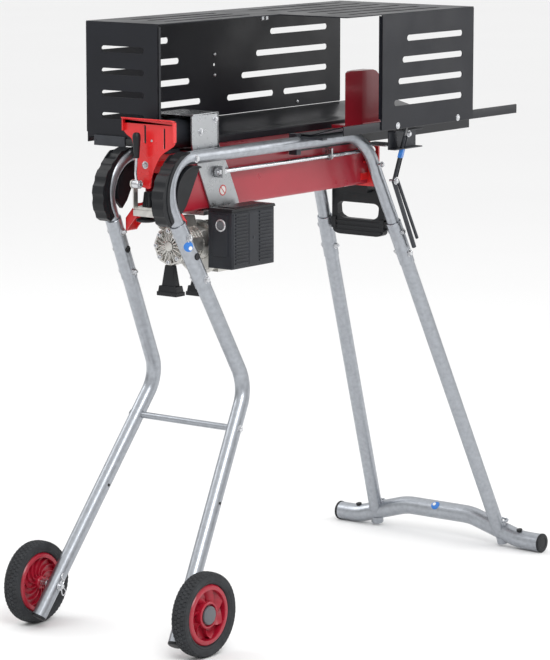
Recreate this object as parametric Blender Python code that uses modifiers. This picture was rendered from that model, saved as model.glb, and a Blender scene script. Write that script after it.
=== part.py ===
"""Horizontal electric-hydraulic log splitter on a wheeled tube stand, with a slotted guard.

Metres, +Z up, +X from the control end to the wedge end, -Y the operator's side.
The design frame has X = 0 at the wheel axle. The root empty moves it so that the
origin is the bottom centre of the whole machine's bounding box.
"""

import math

import bmesh
import bpy
from mathutils import Matrix, Vector

GAP = 0.0004  # between pieces that touch
RUNNING = 0.0006  # between pieces that slide or turn

# Stand
UPPER_TUBE_R = 0.016
LEG_TUBE_R = 0.018
COLLAR_R = 0.0195
FRAME_TOP_Z = 1.134
FRONT_BEND_R = 0.085
REAR_BEND_R = 0.120
FRONT_COLLAR_TOP = (0.107, 0.098, 0.985)
FRONT_KNEE = (0.315, 0.137, 0.578)
FRONT_FOOT_END = (-0.0461, 0.210, 0.030)
FRONT_COLLAR_LENGTH = 0.170
REAR_COLLAR_TOP = (0.967, 0.1082, 0.904)
REAR_COLLAR_LENGTH = 0.120
FOOT_TUBE_R = 0.024
FOOT_CAP_R = 0.0255
FOOT_HALF_LENGTH = 0.3325
FOOT_X = 1.347
FOOT_ARCH_Z = 0.071
REAR_LEG_FOOT_Y = 0.200
CROSS_TUBE_R = 0.008
CROSS_TUBE_Z = 0.485
GRIP_DEPTH = 0.024

# Wheels
WHEEL_R = 0.100
WHEEL_WIDTH = 0.040
WHEEL_CENTRE_Y = 0.258
RIM_R = 0.072
HUB_R = 0.017
AXLE_R = 0.006
HUB_CAP_R = 0.016
RIM_SPOKES = 7

# Beam, cylinder and pusher
BEAM_HALF_WIDTH = 0.050
BEAM_BOTTOM_Z = 1.000
BEAM_TOP_Z = 1.139
BEAM_WALL = 0.004
BEAM_FRONT_X = 0.170
BEAM_REAR_X = 0.934
CYLINDER_Z = 1.182
CYLINDER_R = 0.037
CYLINDER_WALL = 0.005
CYLINDER_FRONT_X = 0.153
CYLINDER_LENGTH = 0.1535
CYLINDER_BACK = 0.005
STAGE_WALL = 0.004
STAGE_RING_DEPTH = 0.003  # of a stage's ring beyond its tube, with the running gap
STAGE_R = CYLINDER_R - CYLINDER_WALL - STAGE_RING_DEPTH
INNER_STAGE_R = STAGE_R - STAGE_WALL - STAGE_RING_DEPTH + 0.0005
ROD_R = INNER_STAGE_R - STAGE_WALL - STAGE_RING_DEPTH - 0.001
PUSHER_FACE_X = 0.317
PUSHER_LENGTH = 0.102
STROKE_LUG_X = 0.311
PUSHER_CHEEK = 0.0043
PUSHER_HALF_WIDTH = BEAM_HALF_WIDTH + 2 * RUNNING + PUSHER_CHEEK
PUSHER_TOP_Z = 1.230
PUSHER_PLATE = 0.005
CARRIAGE_BOTTOM_Z = 0.987
STROKE_ROD_R = 0.0055
STROKE_ROD_Y = -(BEAM_HALF_WIDTH + 0.0155)
STROKE_ROD_Z = 1.088
ROD_GUIDE_X = 0.745

# Wedge and trays
WEDGE_X = 0.906
WEDGE_LENGTH = 0.132
WEDGE_TOP_Z = 1.284
TRAY_HALF_WIDTH = 0.2115
TRAY_OUTER_Z = 1.180
TRAY_TABLE_Z = 1.1545  # top of the level part beside the beam
TRAY_TABLE_Y = 0.110  # where the level part turns up into the slope
TRAY_SHEET = 0.0025
TRAY_STAND_OFF = 0.008  # of the flange from the beam, for the pusher's cheeks
TRAY_LIP = 0.024
TRAY_FLANGE = 0.030  # down the beam's side, below the beam's top
TRAY_END_X = 1.383
FAR_TRAY_START_X = 0.1505
NEAR_TRAY_START_X = 0.612

# Guard
GUARD_FRONT_X = 0.150
GUARD_REAR_X = 1.172
GUARD_TOP_Z = 1.444
GUARD_SHEET = 0.0025
GUARD_WIDE_FROM_X = 0.619
GUARD_NARROW_EDGE_Y = -0.009
GUARD_NEAR_START_X = 0.7675
NEAR_PANEL_BOTTOM_Z = 1.158
SLOT_WIDTH = 0.015
SLOT_PITCH = 0.0527
FIRST_SLOT_DROP = 0.064
SLOT_ROWS = 4

# Power unit
MOTOR_Z = 0.905
MOTOR_Y = -0.012
MOTOR_R = 0.062
MOTOR_FRONT_X = 0.300
MOTOR_LENGTH = 0.190
MOTOR_WALL = 0.006
FLANGE_R = 0.066
FLANGE_THICKNESS = 0.014
PUMP_R = 0.046
PUMP_FRONT_X = 0.176
PUMP_COVER_THICKNESS = 0.012
GEAR_SPACING = 0.026
GEAR_TIP_R = 0.0142
GEAR_ROOT_R = 0.0109
GEAR_SHAFT_R = 0.0055
GEAR_TEETH = 10
BOX_LOW = (0.246, -0.150, 0.866)
BOX_HIGH = (0.410, -0.0785, 1.002)
BUTTON_R = 0.0105

# Controls
VALVE_LOW = (0.088, -0.043, 0.998)
VALVE_HIGH = (0.158, 0.0205, 1.020)
SPOOL_R = 0.006
SPOOL_X = 0.122
SPOOL_Y = 0.008
LEVER_PIVOT = (0.078, 0.0, 1.075)
LEVER_ROD_R = 0.005
LEVER_HUB_HALF = 0.009
LEVER_PIN_R = 0.004
LEVER_EAR = 0.003
LEVER_GRIP_R = 0.011
LEVER_GRIP_BOTTOM_Z = 1.140
LEVER_TOP_Z = 1.196
LEVER_ROD_DEPTH = 0.044  # of the rod in its grip
LEVER_GUARD_X = 0.104
LEVER_GUARD_SHEET = 0.003

LOWEST_X = -WHEEL_R
ORIGIN_X = (LOWEST_X + TRAY_END_X) / 2

SIDES = (("near", -1), ("far", 1))


# ---------------------------------------------------------------- scene set-up

for old in list(bpy.data.objects):
    bpy.data.objects.remove(old, do_unlink=True)

parts = bpy.data.collections.new("log_splitter")
cutters = bpy.data.collections.new("cutters")
bpy.context.scene.collection.children.link(parts)
bpy.context.scene.collection.children.link(cutters)

root = bpy.data.objects.new("log_splitter_origin", None)
root.location = (-ORIGIN_X, 0, 0)
parts.objects.link(root)


def material(name, colour, roughness, metallic=0.0):
    """A Principled material with a plain colour."""
    made = bpy.data.materials.new(name)
    made.use_nodes = True
    shader = made.node_tree.nodes["Principled BSDF"]
    shader.inputs["Base Color"].default_value = (*colour, 1)
    shader.inputs["Roughness"].default_value = roughness
    shader.inputs["Metallic"].default_value = metallic
    made.diffuse_color = (*colour, 1)
    return made


GALVANISED = material("galvanised", (0.56, 0.58, 0.60), 0.38, 1.0)
RED_PAINT = material("red_paint", (0.62, 0.02, 0.03), 0.35)
BLACK_SHEET = material("black_sheet", (0.035, 0.038, 0.045), 0.42, 0.2)
BLACK_PLASTIC = material("black_plastic", (0.022, 0.023, 0.025), 0.5)
GREY_PLASTIC = material("grey_plastic", (0.30, 0.30, 0.31), 0.45)
RED_PLASTIC = material("red_plastic", (0.60, 0.02, 0.03), 0.4)
TYRE_RUBBER = material("tyre_rubber", (0.045, 0.045, 0.048), 0.8)
CAST_ALLOY = material("cast_alloy", (0.62, 0.61, 0.58), 0.45, 1.0)
DARK_STEEL = material("dark_steel", (0.10, 0.11, 0.13), 0.4, 0.8)
BRIGHT_STEEL = material("bright_steel", (0.65, 0.66, 0.68), 0.18, 1.0)


# ------------------------------------------------------------- shape functions


def keep(piece, look, pivot=None):
    """Puts a finished piece in the parts collection, with its origin at pivot if one is given."""
    if pivot is not None:
        moved = Vector(pivot) - piece.matrix_basis.to_translation()
        shift = piece.matrix_basis.to_3x3().inverted() @ moved
        piece.data.transform(Matrix.Translation(-shift))
        piece.location = pivot
    piece.data.materials.clear()
    piece.data.materials.append(look)
    piece.parent = root
    if piece.name not in parts.objects:
        parts.objects.link(piece)
    return piece


def helper(piece):
    """Makes a piece a cutter or a tool body: it isn't rendered and shows as wire."""
    piece.hide_render = True
    piece.display_type = "WIRE"
    piece.parent = root
    if piece.name in parts.objects:
        parts.objects.unlink(piece)
    cutters.objects.link(piece)
    return piece


def smooth(piece, angle=35):
    piece.data.shade_smooth()
    piece.data.set_sharp_from_angle(angle=math.radians(angle))
    return piece


def box(name, low, high, bevel=0.0):
    """A box between two corners, with optional rounded edges."""
    mesh = bpy.data.meshes.new(name)
    shape = bmesh.new()
    bmesh.ops.create_cube(shape, size=1)
    size = [b - a for a, b in zip(low, high)]
    bmesh.ops.scale(shape, vec=size, verts=shape.verts)
    shape.to_mesh(mesh)
    shape.free()
    piece = bpy.data.objects.new(name, mesh)
    piece.location = [(a + b) / 2 for a, b in zip(low, high)]
    if bevel:
        rounding = piece.modifiers.new("rounding", "BEVEL")
        rounding.width = bevel
        rounding.segments = 2
    return piece


def rod(name, start, end, radius, sides=24):
    """A cylinder from start to end."""
    start, end = Vector(start), Vector(end)
    mesh = bpy.data.meshes.new(name)
    shape = bmesh.new()
    bmesh.ops.create_cone(
        shape,
        cap_ends=True,
        segments=sides,
        radius1=radius,
        radius2=radius,
        depth=(end - start).length,
    )
    shape.to_mesh(mesh)
    shape.free()
    piece = bpy.data.objects.new(name, mesh)
    piece.location = (start + end) / 2
    piece.rotation_euler = (end - start).to_track_quat("Z", "Y").to_euler()
    return smooth(piece)


def turned(name, centre, axis, profile, steps=32, ring=False):
    """A turned shape: a profile of (radius, height) points, top to bottom on its outer side."""
    mesh = bpy.data.meshes.new(name)
    points = [(radius, 0, height) for radius, height in profile]
    edges = [(i, i + 1) for i in range(len(points) - 1)]
    if ring:
        edges.append((len(points) - 1, 0))
    mesh.from_pydata(points, edges, [])
    piece = bpy.data.objects.new(name, mesh)
    piece.location = centre
    piece.rotation_euler = Vector(axis).to_track_quat("Z", "Y").to_euler()
    screw = piece.modifiers.new("turning", "SCREW")
    screw.steps = screw.render_steps = steps
    screw.use_merge_vertices = True
    screw.merge_threshold = 0.00001
    return piece


def rounded_path(corners, radii, steps=7):
    """Points along straight runs whose inner corners are arcs of the given radii."""
    corners = [Vector(c) for c in corners]
    points = [corners[0]]
    for before, corner, after, radius in zip(corners, corners[1:], corners[2:], radii):
        inward = (before - corner).normalized()
        outward = (after - corner).normalized()
        turn = math.pi - inward.angle(outward)
        middle = (inward + outward).normalized()
        centre = corner + middle * (radius / math.cos(turn / 2))
        first = corner + inward * (radius * math.tan(turn / 2)) - centre
        axis = inward.cross(first).normalized()
        for i in range(steps + 1):
            points.append(centre + Matrix.Rotation(turn * i / steps, 3, axis) @ first)
    points.append(corners[-1])
    return points


def tube(name, points, radius, resolution=2):
    """A round bar along the points, as a mesh with closed ends."""
    curve = bpy.data.curves.new(name + "_curve", "CURVE")
    curve.dimensions = "3D"
    curve.bevel_depth = radius
    curve.bevel_resolution = resolution
    curve.use_fill_caps = True
    line = curve.splines.new("POLY")
    line.points.add(len(points) - 1)
    for point, place in zip(line.points, points):
        point.co = (*place, 1)
    return solid_from(name, curve)


def solid_from(name, curve, turn=(0, 0, 0), place=(0, 0, 0)):
    """The curve's solid as a mesh object, its caps welded."""
    guide = bpy.data.objects.new(name + "_guide", curve)
    guide.rotation_euler = turn
    guide.location = place
    parts.objects.link(guide)
    bpy.context.view_layer.update()
    graph = bpy.context.evaluated_depsgraph_get()
    mesh = bpy.data.meshes.new_from_object(guide.evaluated_get(graph))
    shape = bmesh.new()
    shape.from_mesh(mesh)
    bmesh.ops.remove_doubles(shape, verts=shape.verts, dist=0.00001)
    bmesh.ops.recalc_face_normals(shape, faces=shape.faces)
    shape.to_mesh(mesh)
    shape.free()
    piece = bpy.data.objects.new(name, mesh)
    piece.matrix_basis = guide.matrix_world.copy()
    bpy.data.objects.remove(guide, do_unlink=True)
    return smooth(piece)


PLANE_TURNS = {
    "x": (math.pi / 2, 0, math.pi / 2),  # outline points are (y, z)
    "y": (math.pi / 2, 0, 0),  # outline points are (x, z)
    "z": (0, 0, 0),  # outline points are (x, y)
}


def plate(name, normal, level, thickness, outlines):
    """A flat sheet square to an axis. The first outline is its edge and the rest are holes."""
    curve = bpy.data.curves.new(name + "_curve", "CURVE")
    curve.dimensions = "2D"
    curve.fill_mode = "BOTH"
    curve.extrude = thickness / 2
    for outline in outlines:
        line = curve.splines.new("POLY")
        line.points.add(len(outline) - 1)
        for point, (u, v) in zip(line.points, outline):
            point.co = (u, v, 0, 1)
        line.use_cyclic_u = True
    place = [level if axis == normal else 0 for axis in "xyz"]
    return solid_from(name, curve, PLANE_TURNS[normal], place)


def circle(u, v, radius, sides=16):
    turns = [2 * math.pi * i / sides for i in range(sides)]
    return [(u + radius * math.cos(t), v + radius * math.sin(t)) for t in turns]


def slot(u_low, u_high, v, width=SLOT_WIDTH, steps=5):
    """A slot along the outline's first direction, with round ends."""
    radius = width / 2
    ends = ((u_high - radius, -math.pi / 2), (u_low + radius, math.pi / 2))
    points = []
    for centre, start in ends:
        for i in range(steps + 1):
            angle = start + math.pi * i / steps
            points.append((centre + radius * math.cos(angle), v + radius * math.sin(angle)))
    return points


def rectangle(u_low, v_low, u_high, v_high):
    return [(u_low, v_low), (u_high, v_low), (u_high, v_high), (u_low, v_high)]


def combine(piece, other, operation):
    """A Boolean of piece with a helper."""
    step = piece.modifiers.new(operation.lower(), "BOOLEAN")
    step.operation = operation
    step.object = helper(other)
    return piece


def cut(piece, *others):
    for other in others:
        combine(piece, other, "DIFFERENCE")
    return piece


def unite(piece, *others):
    for other in others:
        combine(piece, other, "UNION")
    return piece


def mirrored(point, side):
    return Vector((point[0], side * point[1], point[2]))


def along(start, end, distance):
    """The point this far from start towards end."""
    start, end = Vector(start), Vector(end)
    return start + (end - start).normalized() * distance


def on_line(start, end, height):
    """The point of the line through start and end at this height."""
    start, end = Vector(start), Vector(end)
    return start + (end - start) * ((height - start.z) / (end.z - start.z))


# ----------------------------------------------------------------------- stand


def rear_leg_foot():
    return (FOOT_X - 0.010, REAR_LEG_FOOT_Y, FOOT_CAP_R + 0.020)


def frame_path():
    """Ends and corners of a side frame's centre line, on the far side."""
    front_in = along(FRONT_COLLAR_TOP, FRONT_KNEE, FRONT_COLLAR_LENGTH * 0.8)
    rear_in = along(REAR_COLLAR_TOP, rear_leg_foot(), REAR_COLLAR_LENGTH * 0.8)
    front_corner = on_line(front_in, FRONT_COLLAR_TOP, FRAME_TOP_Z)
    rear_corner = on_line(rear_in, REAR_COLLAR_TOP, FRAME_TOP_Z)
    return [front_in, front_corner, rear_corner, rear_in]


def side_frame(word, side):
    """The bent upper tube of one side. Its ends stand in the collars of the two legs."""
    path = [mirrored(point, side) for point in frame_path()]
    bends = rounded_path(path, (FRONT_BEND_R, REAR_BEND_R), 8)
    keep(tube(f"side_frame_{word}", bends, UPPER_TUBE_R, 2), GALVANISED)


def front_bend_centre():
    """Centre of the front bend's arc, seen square to the machine's side."""
    front_in, corner, _, _ = frame_path()
    lean = math.atan2(front_in.x - corner.x, corner.z - front_in.z)
    half_turn = (math.pi / 2 + lean) / 2
    y = on_line(front_in, corner, FRAME_TOP_Z - FRONT_BEND_R * 0.8).y
    return Vector((corner.x + FRONT_BEND_R * math.tan(half_turn), y, FRAME_TOP_Z - FRONT_BEND_R))


def front_leg(word, side):
    """S-shaped front leg: a collar, a knee, and a run down past the axle."""
    top = mirrored(FRONT_COLLAR_TOP, side)
    knee = mirrored(FRONT_KNEE, side)
    end = mirrored(FRONT_FOOT_END, side)
    leg = tube(f"front_leg_{word}", rounded_path([top, knee, end], (0.085,), 8), LEG_TUBE_R, 2)
    collar_end = along(top, knee, FRONT_COLLAR_LENGTH)
    collar = rod(f"front_collar_{word}", along(top, knee, -GAP), collar_end, COLLAR_R, 16)
    socket = rod(
        f"front_socket_{word}",
        along(top, knee, -0.01),
        along(top, knee, FRONT_COLLAR_LENGTH * 0.8 + 0.003),
        UPPER_TUBE_R + GAP,
        16,
    )
    axle = axle_point(side)
    axle_hole = rod(
        f"axle_hole_{word}",
        axle - Vector((0, 0.06, 0)),
        axle + Vector((0, 0.06, 0)),
        AXLE_R + GAP,
        12,
    )
    unite(leg, collar)
    cut(leg, socket, axle_hole)
    keep(leg, GALVANISED)


def axle_point(side):
    """Where the axle line crosses the front leg."""
    return mirrored(on_line(FRONT_KNEE, FRONT_FOOT_END, WHEEL_R), side)


def leg_cross_tube():
    """The bar that ties the two front legs, its ends cut to stand off the round legs."""
    place = on_line(FRONT_KNEE, FRONT_FOOT_END, CROSS_TUBE_Z)
    bar = rod(
        "leg_cross_tube", mirrored(place, -1), mirrored(place, 1), CROSS_TUBE_R, 16
    )
    for word, side in SIDES:
        knee, end = mirrored(FRONT_KNEE, side), mirrored(FRONT_FOOT_END, side)
        cut(bar, rod(f"cross_cut_{word}", knee, end, LEG_TUBE_R + 2 * GAP, 24))
        outer = mirrored(place, side) + Vector((0, side * 0.02, 0))
        inner = mirrored(place, side)
        cut(bar, rod(f"cross_trim_{word}", inner, outer, 2 * CROSS_TUBE_R, 12))
    keep(bar, GALVANISED)


def foot_path():
    """The foot tube's centre line: flat ends and an arched middle."""
    low = FOOT_CAP_R
    half = [(0, FOOT_ARCH_Z), (0.105, FOOT_ARCH_Z), (0.262, low), (FOOT_HALF_LENGTH - 0.004, low)]
    far = [Vector((FOOT_X, y, z)) for y, z in half[1:]]
    near = [mirrored(point, -1) for point in reversed(far)]
    return rounded_path(near + far, (0.16,) * 4, 5)


def foot():
    keep(tube("foot_tube", foot_path(), FOOT_TUBE_R, 2), GALVANISED)
    for word, side in SIDES:
        inner = Vector((FOOT_X, side * (FOOT_HALF_LENGTH - 0.004 + GAP), FOOT_CAP_R))
        outer = Vector((FOOT_X, side * FOOT_HALF_LENGTH, FOOT_CAP_R))
        keep(rod(f"foot_cap_{word}", inner, outer, FOOT_CAP_R, 24), BLACK_PLASTIC)


def rear_leg(word, side):
    """Straight rear leg, with a collar at its top and its foot fitted over the foot tube."""
    top = mirrored(REAR_COLLAR_TOP, side)
    bottom = mirrored(rear_leg_foot(), side)
    leg = rod(f"rear_leg_{word}", top, bottom, LEG_TUBE_R, 16)
    collar_end = along(top, bottom, REAR_COLLAR_LENGTH)
    collar = rod(f"rear_collar_{word}", along(top, bottom, -GAP), collar_end, COLLAR_R, 16)
    socket = rod(
        f"rear_socket_{word}",
        along(top, bottom, -0.01),
        along(top, bottom, REAR_COLLAR_LENGTH * 0.8 + 0.003),
        UPPER_TUBE_R + GAP,
        16,
    )
    saddle = tube(f"saddle_{word}", foot_path(), FOOT_TUBE_R + 2 * GAP, 2)
    skirt = box(
        f"skirt_{word}",
        (FOOT_X - 0.1, bottom.y - 0.08, -0.02),
        (FOOT_X + 0.1, bottom.y + 0.08, FOOT_CAP_R + 0.012),
    )
    unite(leg, collar)
    cut(leg, socket, saddle, skirt)
    keep(leg, GALVANISED)


# ---------------------------------------------------------------------- wheels


def wheel(word, side):
    """Axle, spoked rim, tyre and hub cap of one wheel, all turned about the axle."""
    leg = axle_point(side)
    centre = Vector((leg.x, side * WHEEL_CENTRE_Y, WHEEL_R))
    outward = Vector((0, side, 0))
    half = WHEEL_WIDTH / 2
    axle_out = centre + outward * (half + 0.004)
    axle_in = Vector((leg.x, leg.y - side * 0.026, leg.z))
    axle = rod(f"wheel_axle_{word}", axle_in, axle_out, AXLE_R, 16)
    collar_start = Vector((leg.x, leg.y + side * 0.0215, leg.z))
    unite(
        axle, rod(f"axle_collar_{word}", collar_start, centre - outward * (half + RUNNING), 0.010, 16)
    )
    keep(axle, BRIGHT_STEEL)

    tyre_profile = [
        (RIM_R + GAP, half * 0.62),
        (RIM_R + 0.010, half * 0.90),
        (WHEEL_R - 0.007, half),
        (WHEEL_R, half * 0.70),
        (WHEEL_R, -half * 0.70),
        (WHEEL_R - 0.007, -half),
        (RIM_R + 0.010, -half * 0.90),
        (RIM_R + GAP, -half * 0.62),
    ]
    tyre = turned(f"tyre_{word}", centre, outward, tyre_profile, 40, ring=True)
    keep(tyre, TYRE_RUBBER)

    lip = RIM_R - 0.006
    face = half * 0.55
    rim_profile = [
        (AXLE_R + RUNNING, half - 0.001),
        (HUB_R, half - 0.001),
        (HUB_R + 0.002, face * 0.6),
        (lip, face * 0.2),
        (lip, half * 0.8),
        (RIM_R, half * 0.8),
        (RIM_R, -half * 0.8),
        (lip, -half * 0.8),
        (lip, -face * 0.4),
        (HUB_R + 0.002, -face * 0.4),
        (HUB_R, -half + 0.001),
        (AXLE_R + RUNNING, -half + 0.001),
    ]
    rim = turned(f"wheel_rim_{word}", centre, outward, rim_profile, 35, ring=True)
    for i in range(RIM_SPOKES):
        angle = 2 * math.pi * i / RIM_SPOKES
        ray = Vector((math.cos(angle), 0, math.sin(angle)))
        middle = centre + ray * (RIM_R * 0.62)
        window = rod(
            f"rim_window_{word}_{i}", middle - outward * 0.03, middle + outward * 0.03, 0.0095, 10
        )
        cut(rim, window)
    keep(rim, RED_PLASTIC)

    cap_base = half + GAP
    cap_profile = [
        (0, cap_base + 0.008),
        (HUB_CAP_R * 0.8, cap_base + 0.0065),
        (HUB_CAP_R, cap_base),
        (AXLE_R + RUNNING, cap_base),
        (AXLE_R + RUNNING, cap_base + 0.0045),
        (0, cap_base + 0.0045),
    ]
    keep(turned(f"hub_cap_{word}", centre, outward, cap_profile, 24), GREY_PLASTIC)


# --------------------------------------------------------- beam and its fittings


def main_beam():
    """Box-section beam, open at both ends."""
    wall = BEAM_WALL
    outer = rectangle(-BEAM_HALF_WIDTH, BEAM_BOTTOM_Z, BEAM_HALF_WIDTH, BEAM_TOP_Z)
    inner = rectangle(
        -BEAM_HALF_WIDTH + wall, BEAM_BOTTOM_Z + wall, BEAM_HALF_WIDTH - wall, BEAM_TOP_Z - wall
    )
    middle = (BEAM_FRONT_X + BEAM_REAR_X) / 2
    beam = plate("main_beam", "x", middle, BEAM_REAR_X - BEAM_FRONT_X, [outer, inner])
    keep(beam, RED_PAINT)


def beam_end_plate():
    """Cross plate that closes the beam under the wedge and reaches both side tubes."""
    half, low, high = 0.0835, BEAM_BOTTOM_Z - 0.006, BEAM_TOP_Z - 0.004
    shoulder_y, shoulder_z = BEAM_HALF_WIDTH + 0.004, BEAM_TOP_Z - TRAY_FLANGE - 0.005
    holes = [circle(side * 0.066, BEAM_BOTTOM_Z + 0.032, 0.007, 12) for side in (-1, 1)]
    holes += [circle(side * abs(STROKE_ROD_Y), STROKE_ROD_Z, 0.009, 12) for side in (-1, 1)]
    outline = [
        (-half, low),
        (half, low),
        (half, shoulder_z),
        (shoulder_y, shoulder_z),
        (shoulder_y, high),
        (-shoulder_y, high),
        (-shoulder_y, shoulder_z),
        (-half, shoulder_z),
    ]
    face = plate("beam_end_plate", "x", BEAM_REAR_X + GAP + 0.003, 0.006, [outline, *holes])
    keep(face, RED_PAINT)


def front_cross_bracket():
    """Plate under the beam's control end, with an arm down to each front leg collar."""
    front, rear = VALVE_HIGH[0] + GAP, BEAM_FRONT_X - GAP
    reach = 0.0765
    outline = [
        (-0.052, 1.022),
        (-0.052, 0.980),
        (0.052, 0.980),
        (0.052, 1.022),
    ]
    arms = plate("front_cross_bracket", "x", (front + rear) / 2, rear - front, [outline])
    for side in (-1, 1):
        inner, outer = side * 0.0445, side * reach
        arm = [(inner, 1.022), (outer, 0.985), (outer, 0.952), (inner, 0.989)]
        unite(arms, plate(f"front_arm_{side + 1}", "x", rear - 0.021, 0.041, [arm]))
    keep(arms, RED_PAINT)


def corner_fittings(word, side):
    """Ribbed grip round the outside of the front bend, and the gusset inside the bend."""
    centre = front_bend_centre()
    y = side * centre.y
    inner_r = FRONT_BEND_R + UPPER_TUBE_R + 0.001
    start, end, steps = math.radians(104), math.radians(214), 13
    angles = [start + (end - start) * i / steps for i in range(steps + 1)]
    outline = []
    for i, angle in enumerate(angles):
        swell = math.sin(math.pi * min(1, 0.06 + 1.15 * i / steps) / 2) ** 2
        depth = GRIP_DEPTH * swell * (0.6 if i == steps else 1)
        radius = inner_r + 0.003 + depth
        outline.append((centre.x + radius * math.cos(angle), centre.z + radius * math.sin(angle)))
    for angle in reversed(angles):
        outline.append((centre.x + inner_r * math.cos(angle), centre.z + inner_r * math.sin(angle)))
    keep(plate(f"corner_grip_{word}", "y", y, 0.036, [outline]), BLACK_PLASTIC)

    gusset_r = FRONT_BEND_R - UPPER_TUBE_R - 0.001
    arc = []
    for i in range(8):
        angle = math.radians(67 + 130 * i / 7)
        arc.append((centre.x + gusset_r * math.cos(angle), centre.z + gusset_r * math.sin(angle)))
    arc += [(centre.x - 0.040, centre.z - 0.040), (centre.x - 0.024, centre.z - 0.024)]
    keep(plate(f"gusset_{word}", "y", y, 0.010, [arc]), BLACK_PLASTIC)


def rear_handle():
    """Carrying handle under the wedge end, between the rear tubes."""
    x = BEAM_REAR_X + 0.040
    half, low, high = 0.083, 0.860, 0.980
    outline = [
        (-half, high),
        (-half * 0.97, low + 0.012),
        (-half * 0.80, low),
        (half * 0.80, low),
        (half * 0.97, low + 0.012),
        (half, high),
    ]
    hole = slot(-0.066, 0.066, 0.923, 0.042)
    keep(plate("rear_handle", "x", x, 0.022, [outline, hole]), BLACK_PLASTIC)
    strap = box(
        "handle_strap",
        (BEAM_REAR_X + 0.0075, -0.045, 0.975),
        (x + 0.011, 0.045, BEAM_BOTTOM_Z + 0.012),
        0.002,
    )
    unite(parts.objects["rear_handle"], strap)


# ---------------------------------------------------------- cylinder and pusher


def hollow_rod(name, start_x, length, radius, wall):
    """A tube along X on the cylinder's line, closed at its control end."""
    profile = [
        (0, CYLINDER_BACK),
        (radius - wall, CYLINDER_BACK),
        (radius - wall, length),
        (radius, length),
        (radius, 0),
        (0, 0),
    ]
    return turned(name, (start_x, 0, CYLINDER_Z), (1, 0, 0), profile, 28)


def sliding_stage(name, start_x, radius, bore, end_x):
    """One hollow stage of the cylinder, with the ring that runs in the bore around it."""
    stage = hollow_rod(name, start_x, end_x - start_x, radius, STAGE_WALL)
    ring = rod(
        name + "_ring",
        (start_x, 0, CYLINDER_Z),
        (start_x + 0.006, 0, CYLINDER_Z),
        bore - RUNNING,
        28,
    )
    cut(ring, rod(name + "_ring_hole", (start_x + CYLINDER_BACK, 0, CYLINDER_Z), (start_x + 0.02, 0, CYLINDER_Z), radius - STAGE_WALL, 28))
    unite(stage, ring)
    keep(stage, BRIGHT_STEEL)


def cylinder_group():
    """Telescopic hydraulic cylinder: fixed body, two sliding stages, and the rod that drives the pusher."""
    body = hollow_rod(
        "hydraulic_cylinder", CYLINDER_FRONT_X, CYLINDER_LENGTH, CYLINDER_R, CYLINDER_WALL
    )
    saddle = box(
        "cylinder_saddle",
        (CYLINDER_FRONT_X + 0.012, -0.020, BEAM_TOP_Z + GAP),
        (CYLINDER_FRONT_X + 0.060, 0.020, CYLINDER_Z - CYLINDER_R + 0.002),
    )
    unite(body, saddle)
    keep(body, DARK_STEEL)
    end_x = CYLINDER_FRONT_X + CYLINDER_LENGTH
    start_x = CYLINDER_FRONT_X + CYLINDER_BACK + GAP
    sliding_stage("cylinder_stage", start_x, STAGE_R, CYLINDER_R - CYLINDER_WALL, end_x - 0.0001)
    start_x += CYLINDER_BACK + GAP
    sliding_stage("cylinder_inner_stage", start_x, INNER_STAGE_R, STAGE_R - STAGE_WALL, end_x - 0.0002)
    start_x += CYLINDER_BACK + GAP
    face_back = PUSHER_FACE_X - PUSHER_PLATE - GAP
    ram = rod("piston_rod", (start_x, 0, CYLINDER_Z), (face_back, 0, CYLINDER_Z), ROD_R, 24)
    piston_r = INNER_STAGE_R - STAGE_WALL - RUNNING
    piston = rod(
        "piston_ring", (start_x, 0, CYLINDER_Z), (start_x + 0.006, 0, CYLINDER_Z), piston_r, 24
    )
    unite(ram, piston)
    keep(ram, BRIGHT_STEEL)


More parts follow.
